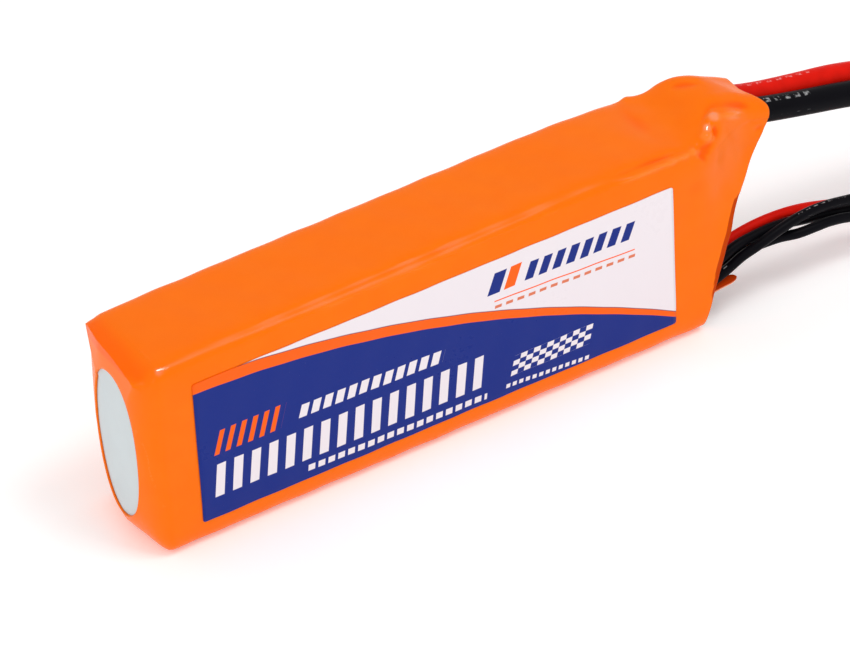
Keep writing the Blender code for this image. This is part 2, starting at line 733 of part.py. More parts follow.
def make_balance_plug(collection, helpers, housing_material, contact_material):
    height = BALANCE_PLUG_HEIGHT
    half_y = BALANCE_PLUG_HALF_Y
    limits_y = (BALANCE_PLUG_Y - half_y, BALANCE_PLUG_Y + half_y)
    name = "balance_plug_housing"
    housing = add_box(name, BALANCE_PLUG_X, limits_y, (0.0, height), collection, housing_material)
    middle_z = height / 2
    for index in range(4):
        y = BALANCE_PLUG_Y + (index - 1.5) * BALANCE_PITCH
        cavity = add_box(
            f"balance_cavity_{index + 1}",
            (BALANCE_PLUG_X[0] - MM, BALANCE_PLUG_X[1] + MM),
            (y - CAVITY_HALF, y + CAVITY_HALF),
            (middle_z - CAVITY_HALF, middle_z + CAVITY_HALF),
            helpers,
        )
        add_boolean(housing, cavity, "DIFFERENCE")
        add_box(
            f"balance_contact_{index + 1}",
            CRIMP_X,
            (y - CRIMP_HALF, y + CRIMP_HALF),
            (middle_z - CRIMP_HALF, middle_z + CRIMP_HALF),
            collection,
            contact_material,
        )
    for side in (-1, 1):
        y = BALANCE_PLUG_Y + side * RIB_OFFSET_Y
        limits_y = (y - RIB_HALF_Y, y + RIB_HALF_Y)
        limits_z = (height - RIB_ROOT, height + RIB_HEIGHT)
        rib = add_box(f"balance_rib_{side}", RIB_X, limits_y, limits_z, helpers)
        add_boolean(housing, rib, "UNION")


# ---------------------------------------------------------------- the pack


def make_pack():
    clear_scene()
    pack = new_collection("lipo_battery_pack")
    helpers = new_collection("cutters", hidden=True)
    red = new_material("lead_red", LEAD_RED, 0.45)
    black = new_material("lead_black", LEAD_BLACK, 0.45)
    solder = new_material("solder", SOLDER, 0.3, 1.0)
    aluminium = new_material("aluminium_tab", (0.8, 0.8, 0.82), 0.35, 1.0)
    nickel = new_material("nickel_tab", (0.66, 0.62, 0.55), 0.3, 1.0)
    pouch = new_material("pouch_foil", (0.72, 0.73, 0.75), 0.35, 0.8)
    tape = new_material("tape", (0.55, 0.24, 0.03), 0.3)
    gold = new_material("gold_contact", (0.83, 0.58, 0.2), 0.25, 1.0)

    make_sleeve(pack, new_material("shrink_film", ORANGE, 0.25))
    make_label(pack, new_material("label_print", BLUE, 0.3))
    make_end_pad(pack, new_material("end_pad_board", PAD_GREY, 0.7))
    for number in range(1, CELL_COUNT + 1):
        make_cell(number, pack, helpers, pouch)
        make_tab(number, True, pack, aluminium)
        make_tab(number, False, pack, nickel)
    make_spacers(pack, new_material("double_sided_tape", (0.85, 0.85, 0.8), 0.6))
    make_band("front_band", BAND_X[0], pack, tape)
    make_band("rear_band", BAND_X[1], pack, tape)
    sheet = new_material("fibre_sheet", (0.75, 0.7, 0.58), 0.7)
    make_board(pack, helpers, sheet, new_material("board", (0.02, 0.2, 0.08), 0.4))
    make_tab_joints(pack, solder)
    make_foam(pack, new_material("foam", (0.05, 0.05, 0.055), 0.9))
    make_main_leads(pack, red, black, solder)
    make_balance_leads(pack, red, black, solder)
    yellow = new_material("plug_nylon", (0.85, 0.55, 0.03), 0.4)
    make_main_plug(pack, helpers, yellow, gold, red, black)
    white = new_material("balance_nylon", (0.85, 0.85, 0.82), 0.45)
    make_balance_plug(pack, helpers, white, new_material("tin", (0.7, 0.7, 0.7), 0.3, 1.0))


make_pack()
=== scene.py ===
"""Looks of the three-cell battery pack: shrink sleeve, printed label, silicone leads and plugs."""

import math

import bmesh
import bpy
import numpy as np
from mathutils import Matrix, Vector


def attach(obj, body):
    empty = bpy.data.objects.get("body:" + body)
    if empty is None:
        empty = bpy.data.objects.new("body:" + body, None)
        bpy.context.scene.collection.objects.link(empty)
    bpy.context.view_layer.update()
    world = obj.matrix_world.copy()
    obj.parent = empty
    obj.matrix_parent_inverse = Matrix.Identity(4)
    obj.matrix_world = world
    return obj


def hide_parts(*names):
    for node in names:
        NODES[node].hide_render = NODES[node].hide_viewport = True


MM = 0.001

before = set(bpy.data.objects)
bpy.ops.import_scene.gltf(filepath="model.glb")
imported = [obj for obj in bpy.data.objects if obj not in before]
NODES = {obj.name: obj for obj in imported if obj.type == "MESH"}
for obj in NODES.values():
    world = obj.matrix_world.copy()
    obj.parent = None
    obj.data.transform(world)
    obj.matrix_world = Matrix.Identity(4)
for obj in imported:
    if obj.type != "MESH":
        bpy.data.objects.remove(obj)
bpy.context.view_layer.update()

# The camera, in degrees and millimetres.
VIEW_AZIMUTH = 29.9
VIEW_ELEVATION = 37.6
VIEW_ROLL = -3.24
VIEW_TARGET = (-5.5, -3.2, 18.0)
VIEW_DISTANCE = 994.8
VIEW_LENS = 254.1
SENSOR_WIDTH = 36.0

# The sleeve's main sizes, in millimetres, as in the CAD model. TOP_LINE is its top, as (x, z), and
# TOP_SHARE_POWER says how soon its levels leave that line going down.
HALF_THICK = 10.8
HEIGHT = 38.7
MID_Z = HEIGHT / 2
SECTION_POWER = 9
FRONT_X = -62.7
FOLD_X = -58.7
REAR_X = 34.7
FILM = 0.36
TOP_LINE = [
    (-58.7, 38.2), (-53.0, 38.5), (-39.0, 38.7), (-9.0, 39.1), (8.0, 39.3), (28.0, 39.5),
    (36.0, 39.2), (41.0, 38.8), (45.0, 38.9), (47.0, 39.8), (49.0, 41.0), (51.0, 41.9),
    (53.0, 42.1), (55.0, 41.5), (57.0, 40.6), (59.5, 39.2), (62.7, 37.7),
]
TOP_SHARE_POWER = 4

# The front window: half width, half height, middle height and power of its oval, and how far round
# the fold the film has already turned at its rim (plain, added on the far side, added at the bottom).
WINDOW = (7.1, 14.5, 18.6, 2.2)
FOLD_START = (0.28, 0.26, 0.07)

# The rear rim, as (z, x). The collar round the main leads is COLLAR_HALF_Y wide to each side, its top
# is at least COLLAR_LEAST_RISE above its middle, and its far side is cut shorter by COLLAR_SKEW. The
# film narrows towards it over NARROW_X and NARROW_Z, and rounds off over the leads over ROUND_X.
RIM_LINE = [
    (0.0, 45.2), (3.3, 45.9), (6.9, 46.9), (9.7, 47.8), (14.3, 49.2), (18.7, 50.7),
    (21.5, 51.9), (23.7, 53.5), (25.5, 55.6), (29.7, 59.3), (31.7, 60.5), (34.0, 61.7),
    (36.0, 62.4), (37.4, 62.7), (38.7, 62.7),
]
COLLAR_HALF_Y = 5.4
COLLAR_SKEW = 3.3
COLLAR_SKEW_Y = (-11.0, -1.0)
COLLAR_LOW_Z = (30.0, 36.0)
COLLAR_LEAST_RISE = 2.6
NARROW_X = (44.0, 59.0)
NARROW_Z = (17.0, 31.0)
ROUND_X = (41.0, 58.0)

# The strip of the rim that turns in on the near side: its depth, its turn per millimetre, how soon its
# painted shade sets in, where it starts and widens going up, and the notch that ends it.
LIP = 1.25
LIP_TURN = 0.12
LIP_PAINTED_SHADE_DEPTH = 0.12
LIP_STARTS_Z = (6.0, 7.5)
LIP_WIDENS_Z = (5.5, 14.0)
LIP_TOP_Z = 24.7
LIP_NOTCH = 0.5

# The scrap of film under the thin leads: the middle of its root, its reach, its half width, the
# share of its reach that is rounded off, and its rows and points.
TONGUE_ROOT = (46.2, -9.0, 7.0)
TONGUE_REACH = 7.0
TONGUE_HALF_WIDTH = 0.85
TONGUE_ROUND = 0.28
TONGUE_GRID = (24, 9)

# Dents and lumps of the film: place, reach along each axis, height, all in millimetres.
LUMPS = [
    ((50.5, -6.7, 41.0), (1.3, 1.3, 1.3), 0.30),
    ((48.2, -7.5, 40.0), (0.8, 0.8, 0.8), 0.35),
    ((47.4, -8.8, 39.0), (1.1, 1.0, 1.0), 0.75),
    ((47.1, -9.5, 37.7), (1.7, 1.0, 0.7), -0.45),
    ((44.2, -9.6, 37.9), (0.9, 0.8, 0.8), 0.60),
    ((60.3, -5.4, 33.3), (1.2, 1.0, 0.7), -0.30),
    ((43.2, 9.6, 38.2), (1.0, 1.6, 1.2), 0.40),
    ((47.0, 9.4, 38.0), (1.8, 1.6, 1.6), -0.50),
    ((44.0, -10.8, 30.0), (4.0, 3.0, 4.0), -0.14),
    ((43.0, 10.8, 24.0), (4.0, 3.0, 6.0), -0.35),
    ((40.5, 3.0, 39.0), (2.0, 6.0, 2.0), -0.25),
]
# Creases: two ends, width and height. A crease's top or bottom is sharp.
CREASES = [
    ((-55.0, -10.0, 36.9), (31.0, -10.1, 37.9), 0.65, 0.26),
    ((-55.0, -9.0, 37.8), (31.0, -9.0, 38.8), 0.70, -0.22),
    ((29.0, -10.1, 37.9), (44.0, -9.7, 37.8), 0.65, 0.60),
    ((29.0, -9.0, 38.8), (44.0, -8.8, 38.4), 0.70, -0.35),
    ((38.6, -9.9, 37.6), (40.6, -9.9, 37.6), 0.60, 0.24),
    ((41.4, -9.9, 37.6), (43.2, -9.8, 37.8), 0.60, 0.30),
    ((45.0, -10.0, 37.2), (46.3, -10.2, 35.4), 0.50, -0.45),
    ((45.2, -10.0, 37.0), (47.4, -9.9, 36.6), 0.45, -0.30),
    ((49.0, -6.3, 40.7), (50.8, -6.9, 40.6), 0.80, 0.45),
    ((51.6, -6.7, 40.3), (57.0, -5.6, 38.2), 1.00, 0.95),
    ((50.6, -5.0, 41.5), (59.0, -4.5, 38.0), 1.20, -0.75),
    ((47.4, -6.2, 40.3), (50.6, -5.0, 41.5), 1.00, -0.35),
    ((49.8, -7.7, 40.0), (49.4, -8.8, 38.0), 0.90, -0.60),
    ((52.5, -8.0, 38.2), (57.5, -6.8, 35.8), 1.00, -0.20),
    ((49.0, 4.8, 40.9), (52.6, 0.8, 42.1), 1.40, -0.40),
    ((38.0, 9.9, 38.6), (44.0, 9.4, 38.6), 0.50, 0.25),
    ((52.0, 7.2, 39.6), (57.0, 5.6, 38.4), 0.80, 0.30),
]
# Small places where the film is stretched smooth: place and reach.
GLOSSY = [
    ((50.1, -7.1, 41.3), 0.75),
    ((48.2, -7.9, 40.1), 0.6),
    ((-58.3, -9.4, 37.5), 0.6),
]

# The leads, in millimetres. The main leads share one route, MAIN_SIDE, as (x, z), but for the red
# one's small lift: its height, and where it grows and fades. They part on their way to the plug.
MAIN_RADIUS = 2.25
BALANCE_RADIUS = 0.9
MAIN_SIDE = [
    (41.8, 34.7), (46.0, 35.6), (52.0, 36.3), (58.0, 35.8), (62.0, 34.7), (66.0, 33.7),
    (73.0, 32.1), (81.0, 30.3), (90.0, 27.6), (100.0, 23.3), (110.0, 17.4), (119.0, 11.4),
    (128.0, 6.5), (137.0, 3.4), (146.0, 2.4), (154.0, 2.7), (161.0, 3.7), (166.0, 4.15),
    (169.0, 4.15), (172.2, 4.15),
]
RED_LIFT = 0.8
RED_LIFT_GROWS_X = (64.0, 84.0)
RED_LIFT_FADES_X = (100.0, 135.0)
LEAD_HALF_PITCH = 2.4
LEADS_PART_X = (80.0, 160.0)
PLUG_MID_Y = 2.0
PLUG_PITCH = 7.2
# The thin lead whose line of dashes faces outward, and the balance contact each thin lead ends in.
PRINTED_WIRE = 3
BALANCE_ROUTES = [
    [
        (41.5, -8.1, 12.0), (45.5, -7.2, 12.3), (54.8, -5.0, 12.7), (58.6, -5.1, 13.4),
        (62.3, -5.2, 13.6), (66.1, -5.3, 13.4), (69.6, -5.1, 12.6), (74.0, -4.9, 11.2),
        (79.3, -4.7, 9.3), (88.0, -5.6, 6.9), (97.0, -6.0, 4.3), (106.0, -7.0, 1.9),
        (114.0, -8.6, 1.0), (122.0, -10.3, 1.0), (130.0, -11.5, 1.0), (138.0, -11.5, 2.0),
        (144.0, -11.5, 2.85),
    ],
    [
        (41.5, -8.1, 9.6), (45.5, -8.3, 10.0), (53.0, -7.7, 12.8), (57.0, -7.4, 13.2),
        (60.9, -7.2, 13.2), (63.8, -7.2, 13.0), (68.4, -6.9, 11.8), (72.6, -6.9, 11.1),
        (77.9, -6.8, 9.8), (88.0, -7.4, 8.1), (97.0, -9.0, 4.4), (106.0, -10.8, 2.5),
        (114.0, -13.6, 1.1), (122.0, -15.3, 1.0), (130.0, -16.5, 1.0), (138.0, -16.5, 2.0),
        (144.0, -16.5, 2.85),
    ],
    [
        (41.5, -8.1, 7.2), (45.0, -8.4, 7.2), (51.0, -8.5, 9.4), (54.1, -8.8, 11.2),
        (56.9, -9.2, 12.4), (62.0, -9.2, 14.0), (67.0, -8.9, 14.7), (71.6, -8.4, 14.2),
        (77.2, -7.8, 12.8), (88.0, -6.3, 9.9), (97.0, -7.2, 6.9), (106.0, -8.4, 4.0),
        (114.0, -7.6, 3.1), (122.0, -7.6, 1.4), (130.0, -9.0, 1.0), (138.0, -9.0, 2.0),
        (144.0, -9.0, 2.85),
    ],
    [
        (41.5, -8.1, 4.8), (45.0, -7.9, 5.0), (51.2, -6.7, 8.0), (53.6, -6.5, 9.5),
        (55.9, -6.6, 10.3), (58.4, -7.0, 10.6), (62.5, -7.7, 10.9), (65.6, -8.8, 11.1),
        (69.2, -9.1, 11.2), (72.1, -9.0, 11.0), (76.5, -8.8, 9.9), (88.0, -8.5, 4.9),
        (97.0, -7.3, 2.5), (106.0, -9.4, 1.0), (114.0, -11.1, 1.0), (122.0, -12.8, 1.0),
        (130.0, -14.0, 1.0), (138.0, -14.0, 2.0), (144.0, -14.0, 2.85),
    ],
]

# The dashes printed along a lead: pitch in millimetres, share of it filled, start and end of the
# band as shares of the way round, and how far the groups are moved along. DASHES of each
# DASH_GROUP are printed.
BLACK_MARK = (2.1, 0.60, 0.178, 0.246, 17.0)
RED_MARK = (2.1, 0.60, 0.228, 0.272, 14.0)
THIN_MARK = (1.6, 0.6, 0.20, 0.235, 0.0)
DASHES = 7
DASH_GROUP = 16

# The label, in millimetres. The edges of its stripe are curves a x^2 + b x + c, and its white field
# fades in from the left over LABEL_FADE_X.
LABEL_X = (-53.5, 39.1)
LABEL_Z = (4.9, 33.4)
LABEL_CORNER = 0.45
LABEL_THICK = 0.12
LABEL_GAP = 0.05
LABEL_FADE_X = (-50.5, -41.5)
STRIPE_TOP = (-0.002797, -0.3263, 24.474)
STRIPE_BOTTOM = (-0.002708, -0.3115, 22.583)

# The foam pad behind the wiring board, in millimetres, and how square its outline is.
FOAM_X = (40.5, 42.5)
FOAM_Y = (-5.0, 8.6)
FOAM_Z = (5.0, 31.4)
FOAM_POWER = 8

# The card behind the window, in millimetres: the gap to the film, how far its middle bulges forward,
# its thickness there, and how far its edge steps back and how thick it is.
CARD_GAP = 0.05
CARD_BULGE = 0.05
CARD_THICK = 0.45
CARD_EDGE = (0.12, 0.3)

# Lights: name, place and side in metres, and power in watts. All point at LIT_PLACE.
LIGHTS = [
    ("key", (0.244, -0.32, 0.94), 0.32, 2.5),
    ("left", (-0.856, -0.35, 0.42), 0.4, 1.15),
]
LIT_PLACE = (-0.006, 0.0, 0.02)
WORLD_STRENGTH = 0.74
# The floor: radius in metres, drop in millimetres and strength of its glow.
FLOOR_RADIUS = 6.0
FLOOR_DROP = 0.05
FLOOR_GLOW = 0.16

# Colours as linear light.
ORANGE = (1.0, 0.170, 0.0010)
STRIPE = (1.0, 0.125, 0.002)
BLUE = (0.006, 0.023, 0.222)
WHITE = (0.87, 0.80, 0.835)
PAD = (0.63, 0.68, 0.695)
RED = (0.75, 0.009, 0.003)
BLACK = (0.0035, 0.0032, 0.0050)
ORANGE_PALE = (1.0, 0.178, 0.0015)
ORANGE_DEEP = (1.0, 0.164, 0.001)
ORANGE_SCUFFED = (1.0, 0.26, 0.05)
# Painted sheen for the bumps where the film is stretched.
ORANGE_PAINTED_SHEEN = (1.0, 0.25, 0.02)
# Painted shade for the dents and the fold over the front's top edge.
ORANGE_PAINTED_SHADE = (1.0, 0.108, 0.0)
# Painted shade for the strip that turns in at the rim, and for the tongue.
ORANGE_EDGE_PAINTED_SHADE = (0.45, 0.028, 0.0)
ORANGE_CUT = (1.0, 0.42, 0.24)
DARK_LINE = (0.12, 0.02, 0.06)
BRICK = (0.75, 0.2, 0.1)
LABEL_RUBBED = (0.5, 0.42, 0.45)
RED_DUST = (0.85, 0.12, 0.10)
BLACK_DUST = (0.06, 0.06, 0.065)
PRINT_GREY = (0.55, 0.55, 0.56)
PRINT_ON_RED = (0.9, 0.42, 0.40)

# Rows of slanted bars on the label: x limits, z limits, pitch, share filled, lean, fall and colour.
# The blue field has a short orange row, a tall white row and thin white rows. The white field has a
# row of blue blocks over two thin lines, with two plain blocks before it.
LABEL_ROWS = [
    ((-50.6, -38.0), (17.6, 22.3), 2.1, 0.46, 0.3, 0.0, STRIPE),
    ((-34.6, -7.0), (18.1, 20.6), 2.3, 0.66, 0.3, -0.03, WHITE),
    ((-51.0, 1.6), (9.1, 15.6), 3.3, 0.52, 0.12, -0.008, WHITE),
    ((-33.5, 1.2), (6.5, 7.7), 1.9, 0.68, 0.12, -0.02, WHITE),
    ((5.0, 21.8), (6.3, 7.1), 1.3, 0.62, 0.18, -0.065, WHITE),
    ((9.5, 31.0), (26.9, 30.3), 2.7, 0.62, 0.4, -0.02, BLUE),
    ((3.5, 31.2), (25.1, 25.35), 1.0, 1.0, 0.18, -0.045, STRIPE),
    ((3.5, 31.2), (23.7, 24.3), 2.2, 0.62, 0.18, -0.045, BRICK),
    ((2.2, 4.6), (26.8, 30.9), 1.0, 1.0, 0.4, 0.0, BLUE),
    ((5.4, 7.6), (26.8, 30.9), 1.0, 1.0, 0.4, 0.0, STRIPE),
]
# The checker patch: x limits of its even rows, their shift in the odd rows, z limits, and the pitch
# along x. Each row is CHECKER_ROW high.
CHECKER_X = (6.0, 21.0)
CHECKER_SHIFT = 1.3
CHECKER_Z = (8.4, 12.3)
CHECKER_PITCH = 2.6
CHECKER_ROW = 0.975


# ---------------------------------------------------------------- materials


class Finish:
    """A procedural material. Positions are object coordinates, which are the row frame's metres."""

    def __init__(self, name):
        self.material = bpy.data.materials.new(name)
        self.material.use_nodes = True
        self.tree = self.material.node_tree
        self.shader = self.tree.nodes["Principled BSDF"]
        self.place = self.tree.nodes.new("ShaderNodeTexCoord").outputs["Object"]

    def feed(self, socket, value):
        """Links an input to a node's output, or gives it a fixed value."""
        if isinstance(value, bpy.types.NodeSocket):
            self.tree.links.new(value, socket)
        else:
            socket.default_value = value

    def math(self, operation, *values, clamp=False):
        node = self.tree.nodes.new("ShaderNodeMath")
        node.operation = operation
        node.use_clamp = clamp
        for socket, value in zip(node.inputs, values):
            self.feed(socket, value)
        return node.outputs[0]

    def total(self, first, *others):
        for other in others:
            first = self.math("ADD", first, other)
        return first

    def product(self, first, *others):
        for other in others:
            first = self.math("MULTIPLY", first, other)
        return first

    def ramp(self, value, start, end, low=0.0, high=1.0):
        """A smooth step from low to high as value goes from start to end."""
        node = self.tree.nodes.new("ShaderNodeMapRange")
        node.interpolation_type = "SMOOTHSTEP"
        for socket, given in zip(node.inputs, (value, start, end, low, high)):
            self.feed(socket, given)
        return node.outputs[0]

    def axes(self):
        """The x, y and z of the shaded place, in millimetres."""
        node = self.tree.nodes.new("ShaderNodeSeparateXYZ")
        self.feed(node.inputs[0], self.place)
        return [self.math("DIVIDE", output, MM) for output in node.outputs]

    def noise(self, size, detail=2.0, stretch=(1.0, 1.0, 1.0), shift=0.0):
        """Noise from 0 to 1 whose features are about `size` millimetres across."""
        mapping = self.tree.nodes.new("ShaderNodeMapping")
        self.feed(mapping.inputs["Vector"], self.place)
        mapping.inputs["Location"].default_value = (shift, shift, shift)
        mapping.inputs["Scale"].default_value = stretch
        node = self.tree.nodes.new("ShaderNodeTexNoise")
        self.feed(node.inputs["Vector"], mapping.outputs[0])
        node.inputs["Scale"].default_value = 1.0 / (size * MM)
        node.inputs["Detail"].default_value = detail
        return node.outputs[0]

    def cells(self, size):
        """Distance to the middle of the nearest cell, in a pattern of cells about `size` millimetres wide."""
        node = self.tree.nodes.new("ShaderNodeTexVoronoi")
        self.feed(node.inputs["Vector"], self.place)
        node.inputs["Scale"].default_value = 1.0 / (size * MM)
        return node.outputs["Distance"]

    def mix(self, share, first, second):
        """A blend of two colours."""
        node = self.tree.nodes.new("ShaderNodeMix")
        node.data_type = "RGBA"
        colours = [(*c, 1.0) if isinstance(c, tuple) else c for c in (first, second)]
        for index, value in zip((0, 6, 7), (share, *colours)):
            self.feed(node.inputs[index], value)
        return node.outputs[2]

    def attribute(self, name):
        node = self.tree.nodes.new("ShaderNodeAttribute")
        node.attribute_name = name
        return node.outputs["Fac"]

    def pointiness(self):
        return self.tree.nodes.new("ShaderNodeNewGeometry").outputs["Pointiness"]

    def bump(self, height, strength, distance, under=None):
        node = self.tree.nodes.new("ShaderNodeBump")
        node.inputs["Strength"].default_value = strength
        node.inputs["Distance"].default_value = distance * MM
        self.feed(node.inputs["Height"], height)
        if under is not None:
            self.feed(node.inputs["Normal"], under)
        return node.outputs[0]

    def set(self, **values):
        """Feeds the shader's inputs, whose names have _ for each space."""
        for name, value in values.items():
            self.feed(self.shader.inputs[name.replace("_", " ")], value)


def shade(color, factor):
    return tuple(min(channel * factor, 1.0) for channel in color)


def plain_finish(
    name, color, rough, metallic=0.0, grain=0.3, relief=0.1, specular=0.5, worn=1.25, mottled=0.12
):
    """A moulded, rolled or cast surface: mottled colour, uneven gloss, fine relief, pale edges."""
    f = Finish(name)
    mottle = f.noise(grain * 14, 3.0)
    fine = f.noise(grain, 3.0)
    body = f.mix(f.ramp(mottle, 0.3, 0.7), shade(color, 1 - mottled), shade(color, 1 + mottled / 2))
    edge = f.product(f.ramp(f.pointiness(), 0.53, 0.60), f.ramp(fine, 0.3, 0.6))
    f.set(Base_Color=f.mix(f.product(edge, 0.6), body, shade(color, worn)))
    gloss = f.total(f.product(mottle, 0.5), f.product(fine, 0.5))
    f.set(Roughness=f.ramp(gloss, 0.3, 0.7, rough * 0.8, rough * 1.2))
    f.set(Metallic=metallic, Specular_IOR_Level=specular)
    f.set(Normal=f.bump(fine, relief, grain * 0.3))
    return f.material


def film_finish():
    """Orange PVC shrink film: glossy, faintly wavy, scuffed on its folds, with painted shade where it turns
    in.

    It reads five values from the mesh: where it is stretched, dented or turned in, its cut edge and where it
    is glossy. Stretched places get a painted sheen; the dents, the front fold, the strip that turns in and
    the tongue get painted shade.
    """
    f = Finish("shrink_film")
    wide = f.noise(17.0, 2.0, shift=3.1)
    mottle = f.noise(5.0, 3.0)
    fine = f.noise(0.35, 2.0)
    pull = f.noise(2.2, 2.0, stretch=(0.22, 1.0, 1.0))
    body = f.mix(f.ramp(mottle, 0.25, 0.75), shade(ORANGE, 0.985), ORANGE_PALE)
    body = f.mix(f.ramp(wide, 0.3, 0.75, 0.0, 0.5), body, ORANGE_DEEP)
    fold = f.ramp(f.pointiness(), 0.53, 0.60)
    scuff = f.product(fold, f.ramp(fine, 0.35, 0.7))
    body = f.mix(f.product(scuff, 0.30), body, ORANGE_SCUFFED)
    # Painted sheen: the stretched bumps are painted paler.
    body = f.mix(f.attribute("stretched_and_painted_sheen"), body, ORANGE_PAINTED_SHEEN)
    # Painted shade in the dents and in the fold over the front's top edge.
    body = f.mix(f.attribute("painted_shade"), body, ORANGE_PAINTED_SHADE)
    # Painted shade on the strip that turns in and on the tongue.
    body = f.mix(f.attribute("edge_painted_shade"), body, ORANGE_EDGE_PAINTED_SHADE)
    body = f.mix(f.attribute("cut_edge"), body, ORANGE_CUT)
    f.set(Base_Color=body)
    gloss = f.total(f.product(wide, 0.6), f.product(fine, 0.25), f.product(scuff, 0.2))
    rough = f.ramp(gloss, 0.25, 0.75, 0.17, 0.28)
    f.set(Roughness=f.math("SUBTRACT", rough, f.product(f.attribute("stretched_and_painted_sheen"), 0.12)))
    level = f.total(0.09, f.product(f.attribute("stretched_and_painted_sheen"), 0.4))
    level = f.math("SUBTRACT", level, f.product(f.attribute("edge_painted_shade"), 0.08), clamp=True)
    f.set(Specular_IOR_Level=level)
    f.set(Coat_Weight=f.attribute("glossy"), Coat_Roughness=0.05, Coat_IOR=2.2)
    f.set(Subsurface_Weight=0.05, Subsurface_Radius=(1.0, 0.25, 0.05), Subsurface_Scale=0.5 * MM)
    wave = f.bump(wide, 0.18, 0.9)
    drawn = f.bump(pull, 0.08, 0.12, wave)
    f.set(Normal=f.bump(fine, 0.05, 0.02, drawn))
    return f.material


def label_finish():
    """The label's print: a white field, an orange stripe and a blue field with plain bars."""
    f = Finish("label_print")
    x, _, z = f.axes()
    soft = 0.05

    def curve(a, b, c):
        square = f.product(x, x)
        return f.total(f.product(square, a), f.product(x, b), c)

    def inside(value, low, high):
        return f.product(f.ramp(value, low - soft, low + soft), f.ramp(value, high + soft, high - soft))

    def bars(x_limits, z_limits, pitch, share, lean, fall):
        """A row of slanted bars, one to each pitch, filling a share of it."""
        level = f.math("SUBTRACT", z, f.product(f.math("SUBTRACT", x, x_limits[0]), fall))
        across = f.math("SUBTRACT", x, f.product(f.math("SUBTRACT", level, z_limits[0]), lean))
        row = f.product(inside(across, *x_limits), inside(level, *z_limits))
        if share >= 1.0:
            return row
        turn = f.math("FLOORED_MODULO", f.math("SUBTRACT", across, x_limits[0]), pitch)
        return f.product(row, inside(turn, 0.0, pitch * share))

    fade = f.ramp(x, *LABEL_FADE_X)
    upper = curve(*STRIPE_TOP)
    below_white = f.ramp(f.math("SUBTRACT", z, upper), soft, -soft)
    below_stripe = f.ramp(f.math("SUBTRACT", z, curve(*STRIPE_BOTTOM)), soft, -soft)
    ink = f.mix(below_white, f.mix(fade, ORANGE, WHITE), STRIPE)
    edge = f.math("ABSOLUTE", f.math("SUBTRACT", z, upper))
    trap = f.product(f.ramp(edge, 0.16, 0.04), fade)
    ink = f.mix(f.product(trap, 0.75), ink, DARK_LINE)
    ink = f.mix(below_stripe, ink, BLUE)
    for *row, color in LABEL_ROWS:
        ink = f.mix(bars(*row), ink, color)

    turn = f.math("FLOORED_MODULO", f.math("SUBTRACT", z, CHECKER_Z[0]), 2 * CHECKER_ROW)
    odd = f.ramp(turn, CHECKER_ROW - soft, CHECKER_ROW + soft)
    for shift, shown in ((0.0, f.math("SUBTRACT", 1.0, odd)), (CHECKER_SHIFT, odd)):
        x_limits = [limit + shift for limit in CHECKER_X]
        squares = bars(x_limits, CHECKER_Z, CHECKER_PITCH, 0.5, 0.25, 0.0)
        ink = f.mix(f.product(squares, shown), ink, WHITE)

    mottle = f.noise(1.2, 3.0)
    wide = f.noise(14.0, 2.0)
    worn = f.ramp(f.noise(0.25, 2.0), 0.70, 0.80, 0.0, 0.10)
    f.set(Base_Color=f.mix(worn, ink, LABEL_RUBBED))
    gloss = f.total(f.product(mottle, 0.35), f.product(wide, 0.65))
    f.set(Roughness=f.ramp(gloss, 0.3, 0.7, 0.26, 0.40))
    f.set(Specular_IOR_Level=0.14)
    f.set(Normal=f.bump(mottle, 0.04, 0.04, f.bump(wide, 0.15, 0.7)))
    return f.material


def lead_finish(name, color, dust_color, mark=None, mark_color=PRINT_GREY):
    """Silicone insulation: a satin skin with fine dust, and groups of faint printed dashes if it has any."""
    f = Finish(name)
    along = f.math("DIVIDE", f.attribute("along"), MM)
    around = f.attribute("around")
    mottle = f.noise(3.0, 3.0)
    fine = f.noise(0.22, 3.0)
    body = f.mix(f.ramp(mottle, 0.3, 0.7), shade(color, 0.94), shade(color, 1.05))
    dust = f.ramp(fine, 0.64, 0.80, 0.0, 0.05)
    body = f.mix(dust, body, dust_color)
    if mark:
        pitch, share, low, high, start = mark
        soft = 0.008
        group = f.math("FLOORED_MODULO", f.math("ADD", along, start), pitch * DASH_GROUP)
        dash = f.math("FLOORED_MODULO", along, pitch)
        band = f.product(f.ramp(around, low - soft, low + soft), f.ramp(around, high + soft, high - soft))
        filled = f.ramp(dash, pitch * share, pitch * share - 0.12)
        dashes = f.product(filled, f.ramp(group, pitch * DASHES, pitch * DASHES - 0.1))
        rubbed = f.ramp(f.noise(0.6, 2.0), 0.42, 0.66, 0.0, 0.6)
        body = f.mix(f.product(band, dashes, rubbed), body, mark_color)
    f.set(Base_Color=body)
    f.set(Roughness=f.ramp(f.total(f.product(mottle, 0.6), f.product(fine, 0.4)), 0.3, 0.7, 0.30, 0.46))
    f.set(Specular_IOR_Level=0.05)
    f.set(Normal=f.bump(fine, 0.06, 0.05, f.bump(f.noise(1.6, 2.0), 0.08, 0.2)))
    return f.material


# ---------------------------------------------------------------- camera, light and floor


def add_object(name, data):
    obj = bpy.data.objects.new(name, data)
    bpy.context.scene.collection.objects.link(obj)
    return obj


